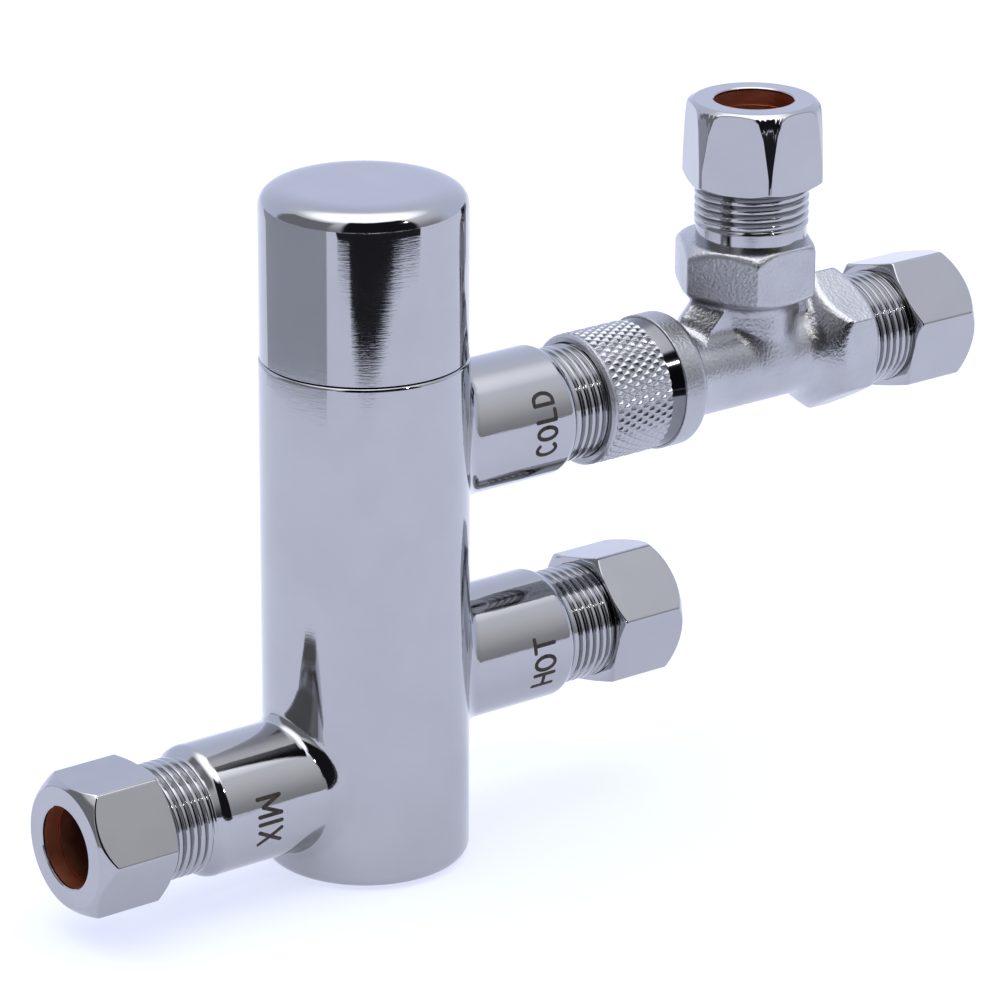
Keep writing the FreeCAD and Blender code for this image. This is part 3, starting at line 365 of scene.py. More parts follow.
@dataclass(frozen=True)
class Net:
    """A net of quads drawn over the zero surface of a distance field."""

    low: Place
    high: Place
    step: float
    passes: int = 6
    flattest: float = 0.2
    probe: float = 1e-3

    def samples(self) -> list[Array]:
        """The grid's lines on each axis, ending exactly on the bounds."""
        return [np.linspace(low, high, round((high - low) / self.step) + 1)
                for low, high in zip(self.low, self.high)]

    def draw(self, skin: Skin, surface: Field, snap: Sequence[tuple[int, float]],
             slot: int = 0) -> None:
        """Adds the surface, with open rims that lie exactly on some planes.

        Args:
            skin: The mesh that gets it.
            surface: The distance field.
            snap: The axis number and the place of each plane where the surface is cut open.
            slot: Which of the piece's finishes it takes.
        """
        lines = self.samples()
        x, y, z = np.meshgrid(*lines, indexing="ij")
        inside = surface(x, y, z) < 0
        corners = sum(
            inside[dx:inside.shape[0] - 1 + dx, dy:inside.shape[1] - 1 + dy,
                   dz:inside.shape[2] - 1 + dz].astype(np.int8)
            for dx in (0, 1) for dy in (0, 1) for dz in (0, 1)
        )
        mixed = (corners > 0) & (corners < 8)
        number = np.full(mixed.shape, -1)
        number[mixed] = np.arange(int(mixed.sum()))
        cells = np.argwhere(mixed)
        points = np.stack([(line[cells[:, axis]] + line[cells[:, axis] + 1]) / 2
                           for axis, line in enumerate(lines)], -1)
        fixed = np.zeros(points.shape, bool)
        for axis, plane in snap:
            last = len(lines[axis]) - 2
            rim = cells[:, axis] == (last if plane > lines[axis][0] else 0)
            points[rim, axis] = plane
            fixed[rim, axis] = True
        faces = self.quads(inside, number)
        for _ in range(self.passes):
            slope = self.slope(surface, points)
            slope[fixed] = 0.0
            size = np.maximum((slope ** 2).sum(1), self.flattest)
            shift = np.clip(surface(*points.T) / size, -self.step, self.step)
            points = points - slope * shift[:, None]
        skin.add(points, self.slope(surface, points), faces, slot)

    def slope(self, surface: Field, points: Array) -> Array:
        """The field's slope at each point, from central differences.

        Args:
            surface: The distance field.
            points: The points, one row each.

        Returns:
            The slopes, one row each.
        """
        parts = []
        for axis in range(3):
            shift = np.zeros(3)
            shift[axis] = self.probe
            rise = surface(*(points + shift).T) - surface(*(points - shift).T)
            parts.append(rise / (2 * self.probe))
        return np.stack(parts, -1)

    @staticmethod
    def quads(inside: Array, number: Array) -> Array:
        """One quad for each grid edge that crosses the surface.

        Args:
            inside: Whether each grid point is inside.
            number: Each mixed cell's number, and -1 elsewhere.

        Returns:
            Rows of four indices.
        """
        found = []
        for axis in range(3):
            ahead = np.moveaxis(inside, axis, 0)
            count = np.moveaxis(number, axis, 0)
            first, second = ahead[:-1, 1:-1, 1:-1], ahead[1:, 1:-1, 1:-1]
            around = [count[:, :-1, :-1], count[:, 1:, :-1], count[:, 1:, 1:], count[:, :-1, 1:]]
            for leaving in (True, False):
                crossing = (first & ~second) if leaving else (~first & second)
                quad = np.stack([part[crossing] for part in around], -1)
                if leaving == (axis == 1):
                    quad = quad[:, ::-1]
                found.append(quad)
        faces = np.concatenate(found)
        return faces[(faces >= 0).all(1)]


def plain_material(name: str, color: Place, roughness: float,
                   glow: Place = (0.0, 0.0, 0.0)) -> bpy.types.Material:
    """A material for the stage, of one colour, which may glow.

    Args:
        name: Its name.
        color: Its colour.
        roughness: Its roughness.
        glow: The light that it gives off.

    Returns:
        The material.
    """
    material = bpy.data.materials.new(name)
    material.use_nodes = True
    shader = material.node_tree.nodes["Principled BSDF"]
    shader.inputs["Base Color"].default_value = (*color, 1.0)
    shader.inputs["Roughness"].default_value = roughness
    shader.inputs["Specular IOR Level"].default_value = 0.1
    shader.inputs["Emission Color"].default_value = (*glow, 1.0)
    shader.inputs["Emission Strength"].default_value = 1.0
    return material


class Graph:
    """A short way to add and link shader nodes."""

    def __init__(self, tree: bpy.types.NodeTree) -> None:
        """Keeps the tree that the nodes go into."""
        self.tree = tree

    def add(self, kind: str, values: dict[str, object] | None = None,
            **settings: object) -> bpy.types.Node:
        """Adds a node.

        Args:
            kind: The node's type, without its ShaderNode prefix.
            values: Socket names with a constant, or another node's socket to link from.
            settings: Properties of the node itself.

        Returns:
            The node.
        """
        node = self.tree.nodes.new(kind if kind.startswith("Node") else f"ShaderNode{kind}")
        for name, value in settings.items():
            setattr(node, name, value)
        for name, value in (values or {}).items():
            socket = node.inputs[int(name)] if name.isdigit() else node.inputs[name]
            if isinstance(value, bpy.types.NodeSocket):
                self.tree.links.new(value, socket)
            else:
                socket.default_value = value
        return node


def effect(name: str, inputs: dict[str, tuple[str, object]],
           outputs: dict[str, str]) -> tuple[bpy.types.NodeTree, Graph, bpy.types.Node]:
    """Starts a node group with named sockets.

    Args:
        name: The group's name.
        inputs: Each input's socket type and its usual value.
        outputs: Each output's socket type.

    Returns:
        The group, its graph and its input node.
    """
    tree = bpy.data.node_groups.new(name, "ShaderNodeTree")
    for title, (kind, value) in inputs.items():
        socket = tree.interface.new_socket(title, in_out="INPUT", socket_type=kind)
        socket.default_value = value
    for title, kind in outputs.items():
        tree.interface.new_socket(title, in_out="OUTPUT", socket_type=kind)
    graph = Graph(tree)
    return tree, graph, graph.add("NodeGroupInput")


@dataclass(frozen=True)
class Stage:
    """The floor, the light and the camera.

    Lengths are in millimetres and angles in degrees. Bearings are counted to the right from
    the camera's side of the column.
    """

    lens: float = 182.75
    sensor: float = 36.0
    clip: tuple[float, float] = (0.01, 20.0)
    place: Place = (-330.76, -458.33, 254.41)
    yaw: float = -37.443
    pitch: float = 20.329
    roll: float = 0.308
    far: float = 3000.0
    floor_level: float = -0.3
    card_level: float = -0.25
    matt: float = 0.9
    paper: Place = (0.35, 0.36, 0.41)
    paper_glow: Place = (0.64, 0.665, 0.80)
    black: Place = (0.012, 0.012, 0.014)
    grey: Place = (0.42, 0.43, 0.47)
    grey_reach: tuple[float, float] = (190.0, 2900.0)
    grey_bearings: tuple[range, range] = (range(38, 131, 8), range(134, 37, -8))
    lamp_place: Place = (55.0, 520.0, 500.0)
    lamp_aim: Place = (20.0, 0.0, 40.0)
    lamp_width: float = 30.0
    lamp_power: float = 0.35
    backdrop: Place = (0.90, 0.98, 1.26)
    backdrop_turn: tuple[float, float] = (-0.15, 0.35)
    backdrop_top: tuple[float, float] = (0.55, 0.9)
    soft_side: float = 0.04
    soft_top: float = 0.03
    tint: Place = (1.0, 1.02, 1.10)
    brightest: float = 3.0
    ceiling: tuple[tuple[float, float], ...] = (
        (0.0, 0.40), (1.0, 2.8), (0.21, 0.52), (0.47, 0.80), (0.766, 1.1), (0.88, 2.5))
    screens: tuple[tuple[float, float, float, Place], ...] = (
        (20.0, 42.0, 0.87, (0.015, 0.015, 0.02)),
        (-70.0, 34.0, 0.70, (0.30, 0.31, 0.34)))
    dark_corners: tuple[tuple[float, float], ...] = (
        (-3.0, 204.0), (12.0, 204.0), (24.0, 225.0), (34.0, 251.0), (45.0, 266.0),
        (64.0, 272.0), (64.0, 2900.0), (-28.0, 2900.0), (-26.0, 272.0), (-14.0, 256.0),
        (-11.0, 225.0))

    def camera(self) -> None:
        """Sets the camera at the photograph's viewing angle."""
        data = bpy.data.cameras.new("camera")
        data.lens, data.sensor_width = self.lens, self.sensor
        data.clip_start, data.clip_end = self.clip
        yaw, pitch, roll = (math.radians(angle) for angle in (self.yaw, self.pitch, self.roll))
        forward = Vector((-math.sin(yaw) * math.cos(pitch), math.cos(yaw) * math.cos(pitch),
                          -math.sin(pitch)))
        right = Vector((math.cos(yaw), math.sin(yaw), 0.0))
        up = right.cross(forward)
        across = right * math.cos(roll) + up * math.sin(roll)
        above = up * math.cos(roll) - right * math.sin(roll)
        turn = Matrix((across, above, -forward)).transposed()
        camera = bpy.data.objects.new("camera", data)
        camera.matrix_world = Matrix.Translation(Vector(self.place) * MM) @ turn.to_4x4()
        bpy.context.scene.collection.objects.link(camera)
        bpy.context.scene.camera = camera

    def sheet(self, name: str, corners: Sequence[Place], finish: bpy.types.Material,
              seen: bool = True) -> None:
        """Adds one flat sheet of the stage.

        Args:
            name: The sheet's name.
            corners: Its corners, in millimetres.
            finish: Its material.
            seen: Whether it shows by itself, or only where the plate reflects it.
        """
        mesh = bpy.data.meshes.new(name)
        mesh.from_pydata([tuple(value * MM for value in corner) for corner in corners], [],
                         [tuple(range(len(corners)))])
        mesh.materials.append(finish)
        piece = bpy.data.objects.new(name, mesh)
        piece.visible_camera = seen
        bpy.context.scene.collection.objects.link(piece)

    def lamp(self) -> None:
        """Adds a small round lamp for the glints."""
        data = bpy.data.lights.new("glint_lamp", "AREA")
        data.shape, data.size, data.energy = "DISK", self.lamp_width * MM, self.lamp_power
        lamp = bpy.data.objects.new("glint_lamp", data)
        place = Vector(self.toward(*self.lamp_place))
        way = (Vector(self.lamp_aim) - place).normalized()
        lamp.matrix_world = (Matrix.Translation(place * MM)
                             @ way.to_track_quat("-Z", "Y").to_matrix().to_4x4())
        bpy.context.scene.collection.objects.link(lamp)

    def toward(self, bearing: float, reach: float, height: float) -> Place:
        """A place given by its bearing.

        Args:
            bearing: The bearing about the column.
            reach: The distance from the column.
            height: The height.

        Returns:
            The place.
        """
        angle = math.radians(self.yaw - 90.0 + bearing)
        return (reach * math.cos(angle), reach * math.sin(angle), height)

    def sector(self, graph: Graph, way: bpy.types.NodeSocket, height: bpy.types.NodeSocket,
               middle: float, half: float, top: float) -> bpy.types.NodeSocket:
        """A mask of the directions between two bearings and below a height.

        Args:
            graph: The world's nodes.
            way: The direction looked in.
            height: Its vertical part.
            middle: The sector's middle bearing, in degrees.
            half: Half of its width, in degrees.
            top: The sine of the elevation that it reaches.

        Returns:
            The mask, with soft edges.
        """
        level = graph.add("VectorMath", {"0": way, "1": (1.0, 1.0, 0.0)}, operation="MULTIPLY")
        flat = graph.add("VectorMath", {"0": level.outputs[0]}, operation="NORMALIZE")
        near = graph.add("VectorMath", {"0": flat.outputs[0],
                                        "1": self.toward(middle, 1.0, 0.0)},
                         operation="DOT_PRODUCT")
        edge = math.cos(math.radians(half))
        across = graph.add("MapRange", {"Value": near.outputs["Value"],
                                        "From Min": edge - self.soft_side,
                                        "From Max": edge + self.soft_side},
                           interpolation_type="SMOOTHSTEP")
        below = graph.add("MapRange", {"Value": height, "From Min": top - self.soft_top,
                                       "From Max": top + self.soft_top,
                                       "To Min": 1.0, "To Max": 0.0},
                          interpolation_type="SMOOTHSTEP")
        return graph.add("Math", {"0": across.outputs[0], "1": below.outputs[0]},
                         operation="MULTIPLY").outputs[0]

    def room(self) -> None:
        """Adds the world: bright overhead, pale behind, dark where the camera stands."""
        world = bpy.data.worlds.new("studio")
        world.use_nodes = True
        graph = Graph(world.node_tree)
        way = graph.add("TexCoord").outputs["Generated"]
        height = graph.add("SeparateXYZ", {"Vector": way}).outputs["Z"]
        ramp = graph.add("ValToRGB", {"Fac": height})
        tones = ramp.color_ramp.elements
        ready = len(tones)
        for index, (rise, level) in enumerate(self.ceiling):
            tone = tones[index] if index < ready else tones.new(rise)
            tone.position = rise
            tone.color = (level / self.brightest,) * 3 + (1.0,)
        above = graph.add("VectorMath", {"0": ramp.outputs["Color"], "1": tuple(
            self.brightest * part for part in self.tint)}, operation="MULTIPLY")
        behind = graph.add("VectorMath", {"0": way, "1": self.toward(180.0, 1.0, 0.0)},
                           operation="DOT_PRODUCT")
        share = graph.add("MapRange", {"Value": behind.outputs["Value"],
                                       "From Min": self.backdrop_turn[0],
                                       "From Max": self.backdrop_turn[1]},
                          interpolation_type="SMOOTHSTEP")
        low = graph.add("MapRange", {"Value": height, "From Min": self.backdrop_top[0],
                                     "From Max": self.backdrop_top[1],
                                     "To Min": 1.0, "To Max": 0.0})
        both = graph.add("Math", {"0": share.outputs[0], "1": low.outputs[0]},
                         operation="MULTIPLY")
        walls = graph.add("Mix", {"0": both.outputs[0], "6": above.outputs[0],
                                  "7": (*self.backdrop, 1.0)}, data_type="RGBA")
        color = walls.outputs[2]
        for middle, half, top, tone in self.screens:
            mask = self.sector(graph, way, height, middle, half, top)
            color = graph.add("Mix", {"0": mask, "6": color, "7": (*tone, 1.0)},
                              data_type="RGBA").outputs[2]
        background = world.node_tree.nodes["Background"]
        world.node_tree.links.new(color, background.inputs["Color"])
        bpy.context.scene.world = world

    def build(self) -> None:
        """Adds the floor, the cards that the plate reflects, the lamp and the room."""
        far, level = self.far, self.floor_level
        self.sheet("floor", [(-far, -far, level), (far, -far, level), (far, far, level),
                             (-far, far, level)],
                   plain_material("floor_paper", self.paper, self.matt, self.paper_glow))
        self.sheet("black_card", [self.toward(bearing, reach, self.card_level)
                                  for bearing, reach in self.dark_corners],
                   plain_material("black_card", self.black, self.matt), False)
        ring = [self.toward(-bearing, reach, self.card_level)
                for reach, bearings in zip(self.grey_reach, self.grey_bearings)
                for bearing in bearings]
        self.sheet("grey_card", ring, plain_material("grey_card", self.grey, self.matt), False)
        self.lamp()
        self.room()
        bpy.context.scene.view_settings.view_transform = "Standard"


FLOAT, COLOR, VECTOR = "NodeSocketFloat", "NodeSocketColor", "NodeSocketVector"


def polish_group() -> bpy.types.NodeTree:
    """The fine lines that turning and buffing leave, drawn out across one axis.

    Returns:
        The group.
    """
    tree, graph, given = effect(
        "polish_lines",
        {"Stretch": (VECTOR, (1.0, 1.0, 12.0)), "Scale": (FLOAT, 400.0)},
        {"Lines": FLOAT, "Clouds": FLOAT},
    )
    place = graph.add("TexCoord")
    drawn = graph.add("VectorMath", {"0": place.outputs["Object"], "1": given.outputs["Stretch"]},
                      operation="MULTIPLY")
    lines = graph.add("TexNoise", {"Vector": drawn.outputs[0], "Scale": given.outputs["Scale"],
                                   "Detail": 3.0, "Roughness": 0.6})
    clouds = graph.add("TexNoise", {"Vector": place.outputs["Object"], "Scale": 90.0,
                                    "Detail": 3.0, "Roughness": 0.55})
    graph.add("NodeGroupOutput", {"Lines": lines.outputs["Fac"],
                                  "Clouds": clouds.outputs["Fac"]})
    return tree


def cast_group() -> bpy.types.NodeTree:
    """The pebbled skin of a forging under its plate.

    Returns:
        The group.
    """
    tree, graph, given = effect(
        "forged_skin", {"Scale": (FLOAT, 2600.0)}, {"Height": FLOAT},
    )
    place = graph.add("TexCoord")
    grain = graph.add("TexNoise", {"Vector": place.outputs["Object"],
                                   "Scale": given.outputs["Scale"], "Detail": 3.0,
                                   "Roughness": 0.6})
    pits = graph.add("TexVoronoi", {"Vector": place.outputs["Object"],
                                    "Scale": given.outputs["Scale"], "Randomness": 1.0},
                     feature="SMOOTH_F1")
    height = graph.add("Math", {"0": pits.outputs["Distance"], "1": 0.5,
                                "2": grain.outputs["Fac"]}, operation="MULTIPLY_ADD")
    graph.add("NodeGroupOutput", {"Height": height.outputs[0]})
    return tree


def tone_and_crease_shade_group() -> bpy.types.NodeTree:
    """A colour that drifts between two tones, with painted shade where the surface folds in.

    Returns:
        The group.
    """
    tree, graph, given = effect(
        "drifting_tone_and_crease_shade",
        {"Light": (COLOR, (0.6, 0.6, 0.65, 1.0)), "Dark": (COLOR, (0.5, 0.5, 0.55, 1.0)),
         "Scale": (FLOAT, 120.0), "Painted_Crease_Shade": (FLOAT, 0.4)},
        {"Color": COLOR},
    )
    place = graph.add("TexCoord")
    drift = graph.add("TexNoise", {"Vector": place.outputs["Object"],
                                   "Scale": given.outputs["Scale"], "Detail": 4.0})
    ramp = graph.add("MapRange", {"Value": drift.outputs["Fac"], "From Min": 0.35,
                                  "From Max": 0.65})
    tone = graph.add("Mix", {"0": ramp.outputs[0], "6": given.outputs["Dark"],
                             "7": given.outputs["Light"]}, data_type="RGBA")
    # Painted shade: the tone is mixed towards near black where the surface folds in.
    shape = graph.add("NewGeometry")
    crease_shade_mask = graph.add("MapRange", {"Value": shape.outputs["Pointiness"], "From Min": 0.5,
                                  "From Max": 0.42})
    crease_shade_amount = graph.add("Math", {"0": crease_shade_mask.outputs[0], "1": given.outputs["Painted_Crease_Shade"]},
                     operation="MULTIPLY")
    tone_with_crease_shade = graph.add("Mix", {"0": crease_shade_amount.outputs[0], "6": tone.outputs[2],
                              "7": (0.03, 0.03, 0.035, 1.0)}, data_type="RGBA")
    graph.add("NodeGroupOutput", {"Color": tone_with_crease_shade.outputs[2]})
    return tree


@dataclass(frozen=True)
class Finish:
    """A metal, rubber or plastic finish made of the shared effects.

    The tone drifts between light and dark, and the roughness between its two values.
    """

    name: str
    light: Place
    dark: Place
    metallic: float = 1.0
    roughness: float = 0.05
    rougher: float = 0.09
    drift: float = 120.0
    # Painted shade: how far the tone is darkened towards near black where the surface folds in.
    crease_shade: float = 0.3
    stretch: Place = (1.0, 1.0, 12.0)
    lines: float = 0.02
    cast: float = 0.0

    def material(self, groups: dict[str, bpy.types.NodeTree]) -> bpy.types.Material:
        """Builds the material.

        Args:
            groups: The shared effects by name.

        Returns:
            The material.
        """
        material = bpy.data.materials.new(self.name)
        material.use_nodes = True
        graph = Graph(material.node_tree)
        shader = material.node_tree.nodes["Principled BSDF"]
        shader.inputs["Metallic"].default_value = self.metallic
        tone = graph.add("Group", node_tree=groups["tone"])
        for title, value in (("Light", (*self.light, 1.0)), ("Dark", (*self.dark, 1.0)),
                             ("Scale", self.drift), ("Painted_Crease_Shade", self.crease_shade)):
            tone.inputs[title].default_value = value
        polish = graph.add("Group", node_tree=groups["polish"])
        polish.inputs["Stretch"].default_value = self.stretch
        rough = graph.add("MapRange", {"Value": polish.outputs["Clouds"], "From Min": 0.3,
                                       "From Max": 0.7, "To Min": self.roughness,
                                       "To Max": self.rougher})
        height, strength = polish.outputs["Lines"], self.lines
        if self.cast:
            skin = graph.add("Group", node_tree=groups["cast"])
            height, strength = skin.outputs["Height"], self.cast
        bump = graph.add("Bump", {"Height": height, "Strength": strength, "Distance": 0.0002})
        links = material.node_tree.links
        links.new(tone.outputs["Color"], shader.inputs["Base Color"])
        links.new(rough.outputs[0], shader.inputs["Roughness"])
        links.new(bump.outputs["Normal"], shader.inputs["Normal"])
        return material


CHROME = (0.405, 0.405, 0.41)
CHROME_LOW = (0.385, 0.385, 0.39)
ROUND_X = (12.0, 1.0, 1.0)
# Painted shade: each finish's crease value sets how dark its folds are painted.
FINISHES = {
    "body": Finish("polished_plate", CHROME, CHROME_LOW, roughness=0.045, rougher=0.075),
    "cap": Finish("polished_cap_plate", CHROME, CHROME_LOW, roughness=0.04, rougher=0.07),
    "nut": Finish("nut_plate", CHROME, CHROME_LOW, stretch=ROUND_X, roughness=0.05,
                  rougher=0.10),
    "thread": Finish("thread_plate", CHROME, CHROME_LOW, crease_shade=0.8, roughness=0.07,
                     rougher=0.12),
    "knurl": Finish("knurl_plate", CHROME, CHROME_LOW, roughness=0.22, rougher=0.32),
    # Painted shade: the groove plate's colour is darkened to stand in for the dark reflection in
    # the groove.
    "groove": Finish("groove_plate_painted_dark", (0.22, 0.22, 0.23), (0.16, 0.16, 0.17), stretch=ROUND_X,
                     roughness=0.07, rougher=0.13),
    "satin": Finish("collar_plate", (0.43, 0.43, 0.44), CHROME_LOW, roughness=0.3,
                    rougher=0.42, cast=0.28),
    "cast": Finish("forged_plate", (0.45, 0.45, 0.46), (0.39, 0.39, 0.40), crease_shade=0.75,
                   roughness=0.24, rougher=0.36, cast=0.3),
    "bare": Finish("unplated_bore", (0.74, 0.31, 0.17), (0.55, 0.21, 0.11), roughness=0.3,
                   rougher=0.5, crease_shade=0.4, lines=0.2),
    "copper": Finish("copper_sleeve", (0.84, 0.41, 0.26), (0.6, 0.26, 0.15), roughness=0.22,
                     rougher=0.4, lines=0.15),
    "brass": Finish("turned_brass", (0.70, 0.52, 0.24), (0.55, 0.39, 0.16), roughness=0.18,
                    rougher=0.32, lines=0.15),
    "steel": Finish("stainless_steel", (0.58, 0.57, 0.55), (0.46, 0.45, 0.44), roughness=0.2,
                    rougher=0.34, lines=0.1),
    "mesh": Finish("pierced_steel", (0.5, 0.5, 0.49), (0.36, 0.36, 0.36), roughness=0.28,
                   rougher=0.42, lines=0.1),
    "rubber": Finish("seal_rubber", (0.022, 0.022, 0.023), (0.012, 0.012, 0.013),
                     metallic=0.0, roughness=0.5, rougher=0.68, cast=0.1),
    "plastic": Finish("moulded_plastic", (0.8, 0.8, 0.78), (0.72, 0.72, 0.70), metallic=0.0,
                      roughness=0.36, rougher=0.48, cast=0.06),
    "etch": Finish("etched_mark", (0.045, 0.03, 0.018), (0.012, 0.008, 0.005), metallic=0.0,
                   roughness=0.6, rougher=0.8, drift=1500.0, cast=0.2),
}


@dataclass
class Housing:
    """The column with its three barrels.

    Profiles are given as distance along the axis, radius and, at a corner, its round. The
    net draws the column and the barrels' roots, and the rest is turned.
    """

    radius: float = 12.5
    height: float = 63.2
    top_band: float = 1.8
    top_round: float = 1.4
    base_round: float = 1.4
    barrel: float = 8.05
    root: float = 1.2
    cut: float = 17.0
    lap: float = 0.02
    shoulder: tuple[float, float] = (25.547, 3.2)
    spigot: tuple[float, float] = (26.5, 7.1)
    thread_start: float = 26.45
    reach: float = 38.6
    thread_end: float = 6.48
    ports: tuple[tuple[float, float], ...] = ((-1.0, 11.4), (1.0, 22.1), (1.0, 51.1))
    face: tuple[float, float] = (5.75, 0.08)
    socket: Profile = ((37.0, 4.82), (30.6, 4.82))
    outlet: Profile = ((30.6, 4.0), (7.0, 4.0))
    cartridge: Profile = ((17.9, 4.4), (17.9, 3.6), (9.2, 3.6))
    bore: float = 4.4
    neck: float = 11.6
    inside: Profile = (
        (64.85, 11.6, 0.1), (64.85, 10.6), (66.35, 10.6), (66.35, 11.6, 0.1),
        (68.0, 11.6, 0.2), (68.0, 9.8), (58.9, 9.8), (58.9, 9.4), (55.2, 9.4), (55.2, 10.2),
        (47.0, 10.2), (47.0, 8.55), (26.2, 8.55), (26.2, 10.2), (18.0, 10.2), (18.0, 7.4),
        (3.0, 7.4), (3.0, 0.01))
    net_side: float = 13.95
    net_step: float = 0.45

    def surface(self, x: Array, y: Array, z: Array) -> Array:
        """The distance to the column with its barrels blended in.

        Args:
            x: Places along X.
            y: Places along Y.
            z: Heights.

        Returns:
            The distances.
        """
        out = np.hypot(x, y) - (self.radius - self.base_round)
        down = self.base_round - z
        solid = (np.hypot(np.maximum(out, 0), np.maximum(down, 0))
                 + np.minimum(np.maximum(out, down), 0) - self.base_round)
        for sign, height in self.ports:
            barrel = np.maximum(np.hypot(y, z - height) - self.barrel, -sign * x)
            solid = joined(solid, barrel, self.root)
        return solid

    def barrels(self, skin: Skin) -> None:
        """Adds each barrel's end, its thread, its mouth and its waterway.

        Args:
            skin: The mesh that gets them.
        """
        far, bend = self.shoulder
        for sign, height in self.ports:
            axis = along_x(0.0, height, sign)
            turned(skin, axis, [(self.cut - self.lap, self.barrel), (far, self.barrel, bend),
                                self.spigot])
            Thread().cut(skin, axis, self.thread_start, self.reach, slot=1)
            turned(skin, axis, [(self.reach, self.thread_end), *self.mouth(sign, height)],
                   slot=1)

    def mouth(self, sign: float, height: float) -> Profile:
        """The inside of a port, from its mouth in to the column.

        Args:
            sign: Which way the port points along X.
            height: Its height.

        Returns:
            The profile.
        """
        face = (self.reach, *self.face)
        if sign < 0:
            return (face, *self.socket, *self.outlet)
        if height == self.ports[-1][1]:
            return (face, (self.socket[0][0], self.bore), *self.cartridge)
        return (face, *self.socket, (self.socket[1][0], self.bore), *self.cartridge)

    def build(self, finishes: dict[str, bpy.types.Material]) -> bpy.types.Object:
        """Makes the housing's mesh.

        Args:
            finishes: The materials by name.

        Returns:
            The piece.
        """
        skin = Skin()
        seam = self.height - self.top_band
        net = Net((-self.cut, -self.net_side, -self.net_step), (self.cut, self.net_side, seam),
                  self.net_step)
        net.draw(skin, self.surface, [(2, seam), (0, -self.cut), (0, self.cut)])
        self.barrels(skin)
        turned(skin, COLUMN, [
            (seam - self.lap, self.radius), (self.height, self.radius, self.top_round),
            (self.height, self.neck), *self.inside,
        ])
        piece = skin.make("housing_skin", [finishes["body"], finishes["thread"]])
        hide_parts("valve_body")
        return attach(piece, "housing")


@dataclass
class Cap:
    """The drawn cap, its flat top falling through a soft shoulder to a tight round."""

    foot: float = 63.32
    top: float = 84.12
    radius: float = 12.38
    inner: float = 11.65
    thickness: float = 2.0
    inner_round: float = 2.6
    lip: tuple[float, float] = (0.05, 0.12)
    shoulder: tuple[float, float] = (4.9, 3.2)
    fullness: float = 3.1
    points: int = 49
    steps: int = 192

    def crown(self) -> tuple[Array, Array]:
        """The path over the shoulder to the middle of the top.

        Returns:
            The path's points and their normals.
        """
        wide, tall = self.shoulder
        share = np.linspace(0.0, 1.0, self.points)
        turn = math.pi / 2 * share * share * (3 - 2 * share)
        cosine = np.clip(np.cos(turn), 0, 1) ** (2 / self.fullness)
        sine = np.clip(np.sin(turn), 0, 1) ** (2 / self.fullness)
        path = np.stack([self.top - tall + tall * sine, self.radius - wide + wide * cosine], -1)
        facing = np.stack([sine ** (self.fullness - 1) / tall,
                           cosine ** (self.fullness - 1) / wide], -1)
        path = np.concatenate([path, [[self.top, 0.01]]])
        return path, np.concatenate([facing, [[1.0, 0.0]]])

    def build(self, finishes: dict[str, bpy.types.Material]) -> bpy.types.Object:
        """Makes the cap's mesh.

        Args:
            finishes: The materials by name.

        Returns:
            The piece.
        """
        skin = Skin()
        roof = self.top - self.thickness
        inside, outside = self.lip
        turned(skin, COLUMN, [
            (roof, 0.01), (roof, self.inner, self.inner_round), (self.foot, self.inner, inside),
            (self.foot, self.radius, outside), (self.top - self.shoulder[1], self.radius),
        ], steps=self.steps)
        swept(skin, COLUMN, *self.crown(), steps=self.steps)
        piece = skin.make("cap_skin", [finishes["cap"]])
        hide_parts("cap")
        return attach(piece, "cap")


